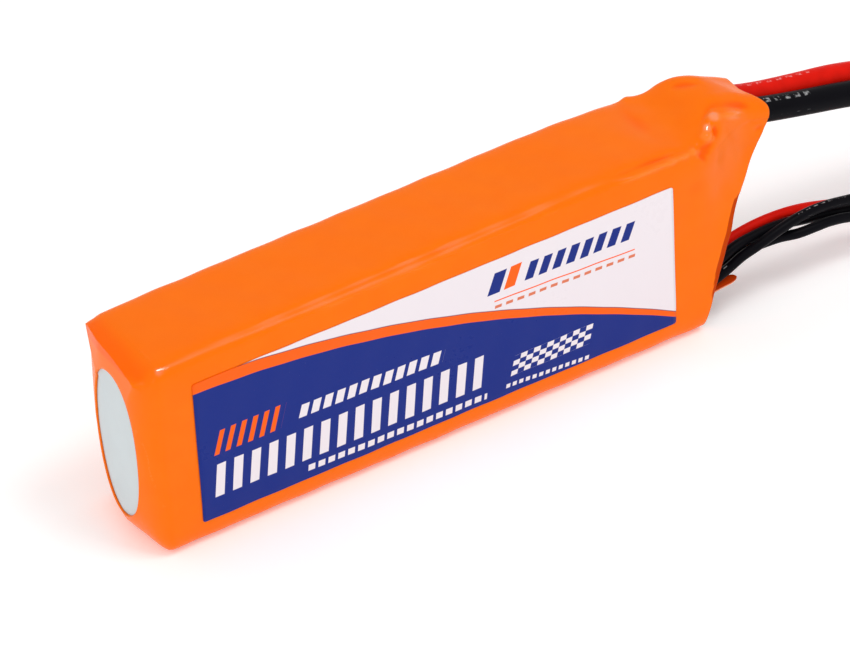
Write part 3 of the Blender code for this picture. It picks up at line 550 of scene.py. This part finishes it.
def make_camera():
    azimuth, elevation, roll = (math.radians(a) for a in (VIEW_AZIMUTH, VIEW_ELEVATION, VIEW_ROLL))
    forward = Vector((
        math.sin(azimuth) * math.cos(elevation),
        math.cos(azimuth) * math.cos(elevation),
        -math.sin(elevation),
    ))
    level = forward.cross(Vector((0.0, 0.0, 1.0))).normalized()
    upright = level.cross(forward)
    side = level * math.cos(roll) + upright * math.sin(roll)
    up = upright * math.cos(roll) - level * math.sin(roll)
    data = bpy.data.cameras.new("camera")
    data.lens = VIEW_LENS
    data.sensor_width = SENSOR_WIDTH
    data.clip_start = 0.02
    data.clip_end = 20.0
    camera = add_object("camera", data)
    turned = Matrix((side, up, -forward)).transposed().to_4x4()
    place = Vector(VIEW_TARGET) * MM - forward * VIEW_DISTANCE * MM
    camera.matrix_world = Matrix.Translation(place) @ turned
    bpy.context.scene.camera = camera


def add_light(name, place, side, power):
    data = bpy.data.lights.new(name, "AREA")
    data.shape = "SQUARE"
    data.size = side
    data.energy = power
    light = add_object(name, data)
    light.location = place
    light.rotation_euler = (Vector(LIT_PLACE) - Vector(place)).to_track_quat("-Z", "Y").to_euler()


def floor_finish():
    """White backdrop paper: very faintly mottled, quite dull, and glowing a little so as to look white."""
    f = Finish("floor_paper")
    mottle = f.noise(60.0, 2.0)
    fine = f.noise(0.8, 2.0)
    f.set(Base_Color=f.mix(f.ramp(mottle, 0.3, 0.7), (0.985, 0.985, 0.985), (1.0, 1.0, 1.0)))
    f.set(Roughness=f.ramp(fine, 0.3, 0.7, 0.65, 0.75))
    f.set(Specular_IOR_Level=0.1, Emission_Color=(1.0, 1.0, 1.0, 1.0), Emission_Strength=FLOOR_GLOW)
    f.set(Normal=f.bump(fine, 0.01, 0.2))
    return f.material


def make_stage():
    world = bpy.data.worlds.new("studio")
    world.use_nodes = True
    background = world.node_tree.nodes["Background"]
    background.inputs["Color"].default_value = (1.0, 1.0, 1.0, 1.0)
    background.inputs["Strength"].default_value = WORLD_STRENGTH
    bpy.context.scene.world = world
    bpy.context.scene.view_settings.view_transform = "Standard"
    for light in LIGHTS:
        add_light(*light)

    bm = bmesh.new()
    bmesh.ops.create_circle(bm, cap_ends=True, segments=96, radius=FLOOR_RADIUS)
    mesh = bpy.data.meshes.new("floor")
    bm.to_mesh(mesh)
    bm.free()
    floor = add_object("floor", mesh)
    floor.location.z = -FLOOR_DROP * MM
    floor.data.materials.append(floor_finish())


# ---------------------------------------------------------------- curves and meshes


def smooth_step(value, start, end):
    """0 before start, 1 after end, and a smooth step between them."""
    t = np.clip((value - start) / (end - start), 0.0, 1.0)
    return t * t * (3 - 2 * t)


def curve_between(start, start_slope, end, end_slope, t):
    """The cubic curve that goes from start to end, with these slopes, as t goes from 0 to 1."""
    return (
        start * (2 * t**3 - 3 * t**2 + 1)
        + start_slope * (t**3 - 2 * t**2 + t)
        + end * (3 * t**2 - 2 * t**3)
        + end_slope * (t**3 - t**2)
    )


def value_at(line, place):
    """The values at some places on a smooth line through (place, value) points."""
    places, values = np.array(line).T
    slopes = np.gradient(values, places)
    index = np.clip(np.searchsorted(places, place) - 1, 0, len(places) - 2)
    width = places[index + 1] - places[index]
    t = np.clip((place - places[index]) / width, 0.0, 1.0)
    start, end = values[index], values[index + 1]
    return curve_between(start, slopes[index] * width, end, slopes[index + 1] * width, t)


def oval(angle, power):
    """Places round an oval one unit in half width and height, squarer as power grows."""
    across, up = np.cos(angle), np.sin(angle)
    return np.sign(across) * np.abs(across) ** (2 / power), np.sign(up) * np.abs(up) ** (2 / power)


def grid_mesh(name, rows, closed=True, capped=False):
    """A mesh through rows of points, all of one length, with its faces turned outwards."""
    rows = np.asarray(rows, float)
    count, width = rows.shape[:2]
    index = np.arange(count * width).reshape(count, width)
    faces = []
    for row in range(count - 1):
        for column in range(width if closed else width - 1):
            after = (column + 1) % width
            faces.append((
                index[row, column], index[row, after], index[row + 1, after], index[row + 1, column],
            ))
    if capped:
        faces.append(tuple(index[0]))
        faces.append(tuple(index[-1][::-1]))
    mesh = bpy.data.meshes.new(name)
    mesh.from_pydata(rows.reshape(-1, 3).tolist(), [], [[int(i) for i in face] for face in faces])
    bm = bmesh.new()
    bm.from_mesh(mesh)
    bmesh.ops.recalc_face_normals(bm, faces=bm.faces)
    bm.to_mesh(mesh)
    bm.free()
    mesh.update()
    return mesh


def add_values(mesh, name, values):
    attribute = mesh.attributes.new(name, "FLOAT", "POINT")
    attribute.data.foreach_set("value", np.asarray(values, np.float32).ravel())


def smooth_faces(obj, degrees=40):
    obj.data.shade_smooth()
    obj.data.set_sharp_from_angle(angle=math.radians(degrees))


# ---------------------------------------------------------------- leads


def smooth_route(points, spacing):
    """Points at most `spacing` apart, read from a smooth curve through the route's own points."""
    last = len(points) - 1
    tangents = []
    for index in range(last + 1):
        low, high = max(index - 1, 0), min(index + 1, last)
        reach = sum((points[k + 1] - points[k]).length for k in range(low, high))
        tangents.append((points[high] - points[low]) / reach)
    smoothed = [points[0]]
    for index in range(last):
        start, end = points[index], points[index + 1]
        length = (end - start).length
        steps = max(1, math.ceil(length / spacing))
        for step in range(1, steps + 1):
            slope, next_slope = tangents[index] * length, tangents[index + 1] * length
            smoothed.append(curve_between(start, slope, end, next_slope, step / steps))
    return smoothed


def tube_rows(points, radius, sides, swell):
    """Rings round a line, turned as little as possible from one to the next."""
    places = np.array([tuple(p) for p in points])
    ways = np.gradient(places, axis=0)
    ways /= np.linalg.norm(ways, axis=1)[:, None]
    side = np.cross(ways[0], (0.0, 0.0, 1.0))
    side /= np.linalg.norm(side)
    angles = 2 * np.pi * np.arange(sides) / sides
    rows = []
    for number, (place, way) in enumerate(zip(places, ways)):
        side = side - way * side.dot(way)
        side /= np.linalg.norm(side)
        up = np.cross(side, way)
        reach = radius * swell(number, angles)
        rows.append(
            place
            + np.outer(reach * np.cos(angles), side)
            + np.outer(reach * np.sin(angles), up)
        )
    return np.array(rows)


def make_lead(name, route, radius, sides, material):
    """A lead whose skin follows the route, with rounded rims at both ends."""
    points = smooth_route([Vector(p) * MM for p in route], 0.9 * radius * MM)
    radius = radius * MM
    # Leads of different names are out of round in different places.
    phase = len(name)

    def swell(number, angles):
        slow = 0.006 * math.sin(0.23 * number + phase)
        oval = 0.008 * np.cos(2 * angles + 0.05 * number + phase)
        return 1.0 + slow + oval

    rows = tube_rows(points, radius, sides, swell)
    centre_start, centre_end = np.array(points[0]), np.array(points[-1])
    start = [centre_start + (rows[0] - centre_start) * share for share in (0.35, 0.86, 0.96)]
    end = [centre_end + (rows[-1] - centre_end) * share for share in (0.96, 0.86, 0.35)]
    inset = 0.12 * radius
    way_in = np.array((points[1] - points[0]).normalized()) * inset
    way_out = np.array((points[-1] - points[-2]).normalized()) * inset
    full = np.concatenate([start, [rows[0] + way_in], rows[1:-1], [rows[-1] - way_out], end])
    mesh = grid_mesh(name, full, capped=True)
    steps = np.linalg.norm(np.diff(full.mean(axis=1), axis=0), axis=1)
    along = np.concatenate([[0.0], np.cumsum(steps)])
    add_values(mesh, "along", np.repeat(along, sides))
    add_values(mesh, "around", np.tile(np.arange(sides) / sides, len(full)))
    lead = add_object(name, mesh)
    smooth_faces(lead)
    mesh.materials.append(material)
    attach(lead, "root")
    return lead, points


def main_route(side):
    """Route of one main lead: side is -1 for the black one and 1 for the red one.

    The two part on the way to the plug's wider contacts.
    """
    near = side * LEAD_HALF_PITCH
    far = PLUG_MID_Y + side * PLUG_PITCH / 2
    route = []
    for x, z in MAIN_SIDE:
        part = float(smooth_step(x, *LEADS_PART_X))
        rise = float(smooth_step(x, *RED_LIFT_GROWS_X) * (1 - smooth_step(x, *RED_LIFT_FADES_X)))
        route.append((x, near + (far - near) * part, z + (RED_LIFT * rise if side > 0 else 0.0)))
    return route


def make_leads():
    red = lead_finish("lead_red_silicone", RED, RED_DUST, RED_MARK, PRINT_ON_RED)
    black = lead_finish("lead_black_silicone", BLACK, BLACK_DUST, BLACK_MARK)
    red_thin = lead_finish("balance_red_silicone", RED, RED_DUST)
    black_thin = lead_finish("balance_black_silicone", BLACK, BLACK_DUST)
    black_printed = lead_finish("balance_black_printed", BLACK, BLACK_DUST, THIN_MARK)
    for color, side, material in (("black", -1, black), ("red", 1, red)):
        name = f"silicone_lead_{color}"
        route = main_route(side)
        lead, points = make_lead(name, route, MAIN_RADIUS, 40, material)
        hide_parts(f"main_lead_{color}")
    for number, route in enumerate(BALANCE_ROUTES, start=1):
        color = "red" if number == 1 else "black"
        material = red_thin if number == 1 else black_thin
        if number == PRINTED_WIRE:
            material = black_printed
        name = f"balance_wire_{number}"
        lead, points = make_lead(name, route, BALANCE_RADIUS, 24, material)
        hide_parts(f"balance_lead_{number}")


# ---------------------------------------------------------------- sleeve


def even_section(count):
    """(y, z) round the body section, evenly spaced along it, from its lowest middle point."""
    angle = np.linspace(-math.pi / 2, 3 * math.pi / 2, 8001)[:-1]
    across, up = oval(angle, SECTION_POWER)
    y, z = across * HALF_THICK, MID_Z + up * MID_Z
    y, z = np.append(y, y[0]), np.append(z, z[0])
    way = np.concatenate([[0.0], np.cumsum(np.hypot(np.diff(y), np.diff(z)))])
    even = np.linspace(0.0, way[-1], count, endpoint=False)
    return np.interp(even, way, y), np.interp(even, way, z)


def raised(x, z):
    """Height of the body section's level z at x: only its upper part follows the line of the top."""
    rise = value_at(TOP_LINE, x) - HEIGHT
    return z + rise * (np.maximum(z, 0.0) / HEIGHT) ** TOP_SHARE_POWER


def rim_x(y, z):
    """Where the rear rim lies at height z. The collar's far side is cut a little shorter."""
    skew = COLLAR_SKEW * smooth_step(y, *COLLAR_SKEW_Y) * smooth_step(z, *COLLAR_LOW_Z)
    return value_at(RIM_LINE, z) - skew


def front_rows(y, z):
    """The film's folded front end, from the window's rim to the body."""
    half_y, half_z, middle, power = WINDOW
    angle = np.arctan2((z - MID_Z) / MID_Z, y / HALF_THICK)
    cosine, sine = np.cos(angle), np.sin(angle)
    across, up = oval(angle, power)
    window_y, window_z = across * half_y, middle + up * half_z
    shares = np.concatenate([np.linspace(0.0, 0.40, 8), np.linspace(0.44, 1.0, 34)])
    depth = FOLD_X - FRONT_X
    plain, far, low = FOLD_START
    first = plain + far * np.maximum(cosine, 0.0) + low * np.maximum(-sine, 0.0)
    # The lower corners are rounder than the rest, most of all on the far side.
    corner = np.maximum(-sine, 0.0) * np.abs(cosine) * (1.2 + 1.6 * (cosine > 0))
    level = raised(FOLD_X, z)
    # The top edge is drawn flatter than the sides, from a crisp line above the window.
    flat = smooth_step(z, HEIGHT - 3.4, HEIGHT - 0.3) * smooth_step(-np.abs(y), -10.5, -9.0)
    crisp = 0.66 + 0.28 * smooth_step(y, -8.0, 8.5)
    drop = 0.04 + 0.20 * smooth_step(y, 3.0, 10.0)
    rows = []
    for share in shares:
        turned = first + (1 - first) * share
        dome = np.sqrt((1 - turned**2) / (1 - plain**2))
        over = np.clip((share - crisp) / (1 - crisp), 0.0, 1.0)
        line = (1 - drop * np.minimum(share / crisp, 1.0)) * (1 - over) * (1 - 0.35 * over)
        rise = dome + (line - dome) * flat
        spread = share ** (1 + corner)
        here_y = window_y + (y - window_y) * spread
        here_z = window_z + (level - window_z) * spread
        rows.append(np.stack([FOLD_X - depth * rise, here_y, here_z], axis=1))
    return rows


def rear_rows(y, z):
    """The film behind the cells, out to the slanted rim and the collar round the main leads."""
    end = rim_x(y, z)
    lead_x, lead_z = np.array(MAIN_SIDE).T
    shares = np.linspace(0.0, 1.0, 100)[1:]
    places = [REAR_X + (end - LIP - REAR_X) * share for share in shares]
    places += [end - LIP * left for left in (0.93, 0.8, 0.6, 0.4, 0.2, 0.0)]
    rows = []
    for x in places:
        width = HALF_THICK - (HALF_THICK - COLLAR_HALF_Y) * (
            smooth_step(x, *NARROW_X) * smooth_step(z, *NARROW_Z)
        )
        here_y = y * width / HALF_THICK
        top = value_at(TOP_LINE, x)
        here_z = raised(x, z)
        # The collar is round over the two leads.
        centre = np.minimum(np.interp(x, lead_x, lead_z), top - COLLAR_LEAST_RISE)
        over = np.maximum(here_z - centre, 0.0) / (top - centre)
        out = np.maximum(np.abs(here_y) - LEAD_HALF_PITCH, 0.0) / (width - LEAD_HALF_PITCH)
        turn = np.arctan2(over, np.maximum(out, 1e-9))
        round_y = np.sign(here_y) * (LEAD_HALF_PITCH + (width - LEAD_HALF_PITCH) * np.cos(turn))
        round_z = centre + (top - centre) * np.sin(turn)
        above = (over > 0) & (np.abs(here_y) > LEAD_HALF_PITCH)
        mix = smooth_step(x, *ROUND_X)
        here_y = np.where(above, here_y + (round_y - here_y) * mix, here_y)
        here_z = np.where(above, here_z + (round_z - here_z) * mix, here_z)
        rows.append(np.stack([x, here_y, here_z], axis=1))
    return rows


def lift(points):
    """How far each point of the film stands off its plain shape, in millimetres."""
    x, y, z = points[..., 0], points[..., 1], points[..., 2]
    ends = smooth_step(x, FRONT_X, FRONT_X + 8)
    waves = 0.05 * np.sin(0.31 * x + 0.22 * z + 1.0) * np.sin(0.17 * x - 0.35 * y + 2.0)
    waves = waves + 0.035 * np.sin(0.74 * x + 0.5 * y - 0.31 * z)
    rear = smooth_step(x, 36, 46)
    ripple = 0.05 * np.sin(0.9 * z + 0.6 * x + 0.7) * np.sin(0.55 * x - 0.4 * z + 0.9 * y)
    height = waves * ends + ripple * rear
    for centre, reach, size in LUMPS:
        gone = sum(((points[..., k] - centre[k]) / reach[k]) ** 2 for k in range(3))
        height = height + size * np.exp(-gone)
    for start, end, width, size in CREASES:
        a, b = np.array(start), np.array(end)
        along = np.clip(((points - a) @ (b - a)) / ((b - a) @ (b - a)), 0, 1)
        away = np.linalg.norm(points - (a + along[..., None] * (b - a)), axis=-1) / width
        sharp = np.exp(-(np.sqrt(away**2 + 0.04) - 0.2) * 1.3)
        height = height + size * sharp * np.exp(-0.3 * away**2) * np.sin(np.pi * (0.08 + 0.84 * along))
    return height


def outward(rows):
    """Unit normals of a closed grid of points, facing away from its middle line."""
    around = np.roll(rows, -1, axis=1) - np.roll(rows, 1, axis=1)
    along = np.gradient(rows, axis=0)
    normal = np.cross(around, along)
    return normal / np.maximum(np.linalg.norm(normal, axis=-1, keepdims=True), 1e-9)


def sleeve_rows(around=420):
    """The film's outer face, and how dark, pale or glossy the film is at each point of it."""
    y, z = even_section(around)
    body_x = np.linspace(FOLD_X, REAR_X, 80)[1:]
    rows = front_rows(y, z)
    rows += [np.stack([np.full_like(y, x), y, raised(x, z)], axis=1) for x in body_x]
    rows = np.array(rows + rear_rows(y, z))
    height = lift(rows)
    rows = rows + outward(rows) * height[..., None]
    # The cut edge turns in a little along the near side, from a sharp notch down.
    left = rim_x(y, z)[None, :] - rows[..., 0]
    side, high = rows[..., 1], rows[..., 2]
    wide = smooth_step(high, *LIP_WIDENS_Z) * 0.65 + 0.35
    notch = np.clip((LIP_TOP_Z - high) / LIP_NOTCH, 0.0, 1.0)
    depth = LIP * wide * notch * smooth_step(high, *LIP_STARTS_Z)
    depth = depth * (side < -5) * (rows[..., 0] > REAR_X + 5)
    past = np.clip(depth - left, 0.0, LIP)
    rows[..., 1] += LIP_TURN * past
    rows[..., 2] = np.maximum(rows[..., 2], 0.0)
    # The film is painted darker in the fold over the front's top edge and in its dents: painted shade. It is
    # painted paler where it is stretched: a painted sheen.
    middle = smooth_step(-np.abs(side), -9.6, -7.0) * smooth_step(high, 35.2, 36.2)
    fold = middle * smooth_step(-rows[..., 0], -0.5 - FOLD_X, 2.6 - FOLD_X)
    values = {
        # Painted shade on the strip that turns in.
        "edge_painted_shade": 0.85 * np.clip(past / LIP_PAINTED_SHADE_DEPTH, 0.0, 1.0),
        # Painted shade in the dents and in the front fold.
        "painted_shade": np.clip(smooth_step(-height, 0.08, 0.45) + 0.6 * fold, 0.0, 0.9),
        # Stretched bumps: glossier, and paler in colour as a painted sheen.
        "stretched_and_painted_sheen": 0.45 * smooth_step(height, 0.14, 0.45),
        "glossy": np.zeros_like(height),
    }
    for centre, reach in GLOSSY:
        away = np.linalg.norm(rows - np.array(centre), axis=-1) / reach
        values["glossy"] = np.maximum(values["glossy"], smooth_step(-away, -1.6, -0.6))
    return rows, values


def tongue_rows():
    """A scrap of film that stands out from the bottom of the rim, under the thin leads."""
    steps, points = TONGUE_GRID
    root_x, root_y, root_z = TONGUE_ROOT
    across = np.linspace(-1.0, 1.0, points)
    rows = []
    for share in np.linspace(0.0, 1.0, steps):
        past = max(share - 1.0 + TONGUE_ROUND, 0.0)
        half = TONGUE_HALF_WIDTH * math.sqrt(max(1.0 - (past / TONGUE_ROUND) ** 2, 0.0004))
        x = np.full_like(across, root_x + TONGUE_REACH * share)
        y = root_y + 0.75 * across * half + 0.55 * share
        z = root_z + 0.55 * across * half + 0.25 * math.sin(2.4 * share)
        rows.append(np.stack([x, y, z], axis=1))
    return np.array(rows)


def make_sleeve():
    rows, values = sleeve_rows()
    mesh = grid_mesh("film_sleeve", rows * MM)
    tongue = grid_mesh("film_tongue", tongue_rows() * MM, closed=False)
    if tongue.polygons[0].normal.z < 0:
        tongue.flip_normals()
    count = len(tongue.vertices)
    # The tongue's near edge shows the pale cut film.
    edge = np.zeros(TONGUE_GRID)
    edge[:, 0] = 1.0
    both = bmesh.new()
    both.from_mesh(mesh)
    both.from_mesh(tongue)
    both.to_mesh(mesh)
    both.free()
    values["cut_edge"] = np.zeros(rows.shape[:2])
    # The tongue is painted dark all over: painted shade.
    on_tongue = {"edge_painted_shade": np.full(count, 0.95), "cut_edge": edge.ravel()}
    for name, plain in values.items():
        extra = on_tongue.get(name, np.zeros(count))
        add_values(mesh, name, np.concatenate([plain.ravel(), extra]))
    sleeve = add_object("film_sleeve", mesh)
    mesh.materials.append(film_finish())
    wall = sleeve.modifiers.new("Film", "SOLIDIFY")
    wall.thickness = FILM * MM
    wall.offset = -1.0
    smooth_faces(sleeve, 28)
    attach(sleeve, "root")
    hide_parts("shrink_sleeve")


# ---------------------------------------------------------------- label


def near_face(x, z):
    """y of the sleeve's near face."""
    level = np.abs((z - MID_Z) / MID_Z)
    plain = -HALF_THICK * (1 - level**SECTION_POWER) ** (1 / SECTION_POWER)
    return plain - lift(np.stack([x, plain, z], axis=-1))


def make_label():
    """A thin sheet with rounded corners that lies on the film."""
    columns = 140
    low, high = LABEL_Z
    ends = np.array([0.0, 0.05, 0.12, 0.22, 0.34, LABEL_CORNER])
    heights = np.concatenate([low + ends, np.linspace(low, high, 44)[1:-1], high - ends[::-1]])
    rows = []
    for z in heights:
        below = max(LABEL_CORNER - min(z - low, high - z), 0.0)
        cut = LABEL_CORNER - math.sqrt(max(LABEL_CORNER**2 - below**2, 0.0))
        x = np.linspace(LABEL_X[0] + cut, LABEL_X[1] - cut, columns)
        level = np.full_like(x, z)
        rows.append(np.stack([x, near_face(x, level) - LABEL_GAP, level], axis=1))
    mesh = grid_mesh("label_sheet", np.array(rows) * MM, closed=False)
    label = add_object("label_sheet", mesh)
    if mesh.polygons[0].normal.y > 0:
        mesh.flip_normals()
    mesh.materials.append(label_finish())
    sheet = label.modifiers.new("Sheet", "SOLIDIFY")
    sheet.thickness = LABEL_THICK * MM
    sheet.offset = 1.0
    smooth_faces(label, 50)
    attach(label, "root")
    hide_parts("label")


# ---------------------------------------------------------------- card behind the window


def make_card():
    """A thin card pressed against the back of the film, so that it follows the window's rim."""
    y, z = even_section(200)
    rim = front_rows(y, z)[0] + np.array((FILM + CARD_GAP, 0.0, 0.0))
    centre = np.array((FRONT_X + FILM - CARD_BULGE, 0.0, WINDOW[2]))
    rows = []
    for share in (0.02, 0.2, 0.4, 0.6, 0.78, 0.9, 0.97, 1.03, 1.07):
        row = centre + (rim - centre) * share
        row[:, 0] = centre[0] + (rim[:, 0] - centre[0]) * share**2
        rows.append(row)
    step_back, edge_thick = CARD_EDGE
    edge = rows[-1] + np.array((step_back, 0.0, 0.0))
    edge_back = edge + np.array((edge_thick, 0.0, 0.0))
    back = [edge, edge_back, rows[0] + np.array((CARD_THICK, 0.0, 0.0))]
    mesh = grid_mesh("window_card", np.array(rows + back) * MM, capped=True)
    card = add_object("window_card", mesh)
    mesh.materials.append(
        plain_finish(
            "end_pad_card", PAD, 0.7, grain=0.4, relief=0.1, specular=0.12, worn=1.0, mottled=0.02
        )
    )
    smooth_faces(card, 50)
    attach(card, "root")
    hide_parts("end_pad")


# ---------------------------------------------------------------- foam pad behind the board


def foam_finish():
    """Grey open foam: dull, with small pores."""
    f = Finish("foam")
    pores = f.cells(0.55)
    mottle = f.noise(3.0, 3.0)
    body = f.mix(f.ramp(mottle, 0.3, 0.7), (0.040, 0.040, 0.044), (0.065, 0.065, 0.070))
    # The pores are painted near black: painted shade in their hollows.
    f.set(Base_Color=f.mix(f.ramp(pores, 0.45, 0.15), body, (0.012, 0.012, 0.014)))
    f.set(Roughness=f.ramp(mottle, 0.3, 0.7, 0.82, 0.96))
    f.set(Normal=f.bump(pores, 0.6, 0.12))
    return f.material


def make_foam():
    """A soft block with rounded edges whose faces are a little full."""
    middle = [sum(limits) / 2 for limits in (FOAM_X, FOAM_Y, FOAM_Z)]
    half_y, half_z = (FOAM_Y[1] - FOAM_Y[0]) / 2, (FOAM_Z[1] - FOAM_Z[0]) / 2
    angle = np.linspace(0, 2 * np.pi, 160, endpoint=False)
    side_y, side_z = oval(angle, FOAM_POWER)
    profile = [(-1.0, 0.06), (-0.99, 0.3), (-0.96, 0.55), (-0.90, 0.78), (-0.78, 0.91)]
    profile += [(-0.6, 0.965), (-0.3, 0.99), (0.0, 1.0)]
    profile += [(-x, share) for x, share in profile[-2::-1]]
    rows = []
    for x, share in profile:
        dents = 1 + 0.006 * np.sin(9 * angle + 4 * x) + 0.004 * np.sin(23 * angle - 3 * x)
        across = middle[1] + half_y * share * side_y * dents
        up = middle[2] + half_z * share * side_z * dents
        rows.append(np.stack([np.full_like(angle, middle[0] + x), across, up], axis=1))
    mesh = grid_mesh("foam_block", np.array(rows) * MM, capped=True)
    foam = add_object("foam_block", mesh)
    mesh.materials.append(foam_finish())
    smooth_faces(foam, 50)
    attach(foam, "root")
    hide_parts("rear_foam_pad")


# ---------------------------------------------------------------- carried-over nodes


def dress(names, material, round_edge=0.0):
    for name in names:
        obj = NODES[name]
        obj.data.materials.clear()
        obj.data.materials.append(material)
        if round_edge:
            weld = obj.modifiers.new("Weld", "WELD")
            weld.merge_threshold = 0.005 * MM
            bevel = obj.modifiers.new("Rounded edges", "BEVEL")
            bevel.width = round_edge * MM
            bevel.segments = 3
            bevel.limit_method = "ANGLE"
            bevel.angle_limit = math.radians(40)


def dress_nodes():
    cells = (1, 2, 3)
    dress(
        [f"cell_{n}" for n in cells],
        plain_finish("pouch_foil", (0.72, 0.73, 0.75), 0.35, 0.8, grain=0.6, relief=0.2),
    )
    dress(
        [f"cell_{n}_positive_tab" for n in cells],
        plain_finish("aluminium_tab", (0.8, 0.8, 0.82), 0.35, 1.0, grain=0.2),
    )
    dress(
        [f"cell_{n}_negative_tab" for n in cells],
        plain_finish("nickel_tab", (0.66, 0.62, 0.55), 0.3, 1.0, grain=0.2),
    )
    dress(["cell_tape_1", "cell_tape_2"], plain_finish("foam_tape", (0.85, 0.85, 0.8), 0.6, grain=0.3))
    dress(["front_band", "rear_band"], plain_finish("amber_tape", (0.55, 0.24, 0.03), 0.3, grain=0.5))
    dress(["tab_sheet"], plain_finish("fibre_sheet", (0.75, 0.7, 0.58), 0.7, grain=0.3, relief=0.3))
    dress(["wiring_board"], plain_finish("board_mask", (0.02, 0.2, 0.08), 0.4, grain=0.3), 0.1)
    joints = ["tab_joint_1_2", "tab_joint_2_3", "tab_joint_positive", "tab_joint_negative"]
    joints += ["main_joint_black", "main_joint_red"] + [f"balance_joint_{n}" for n in range(1, 5)]
    dress(joints, plain_finish("solder", (0.62, 0.62, 0.64), 0.3, 1.0, grain=0.25, relief=0.3), 0.1)
    dress(
        ["main_plug_housing"],
        plain_finish("plug_nylon", (0.85, 0.52, 0.02), 0.42, grain=0.2, relief=0.05, mottled=0.03),
        0.3,
    )
    dress(
        ["balance_plug_housing"],
        plain_finish("balance_nylon", (0.82, 0.82, 0.79), 0.45, grain=0.2, relief=0.05, mottled=0.03),
        0.2,
    )
    dress(
        ["main_contact_black", "main_contact_red"],
        plain_finish("gold_contact", (0.83, 0.58, 0.2), 0.25, 1.0, grain=0.15),
    )
    dress(
        [f"balance_contact_{n}" for n in range(1, 5)],
        plain_finish("tin_contact", (0.7, 0.7, 0.7), 0.3, 1.0, grain=0.15),
        0.1,
    )
    dress(["joint_sleeve_red"], plain_finish("tube_red", (0.5, 0.02, 0.02), 0.5, grain=0.3), 0.1)
    dress(["joint_sleeve_black"], plain_finish("tube_black", (0.012, 0.012, 0.014), 0.5, grain=0.3), 0.1)


make_camera()
make_leads()
make_sleeve()
make_label()
make_card()
make_foam()
dress_nodes()
make_stage()
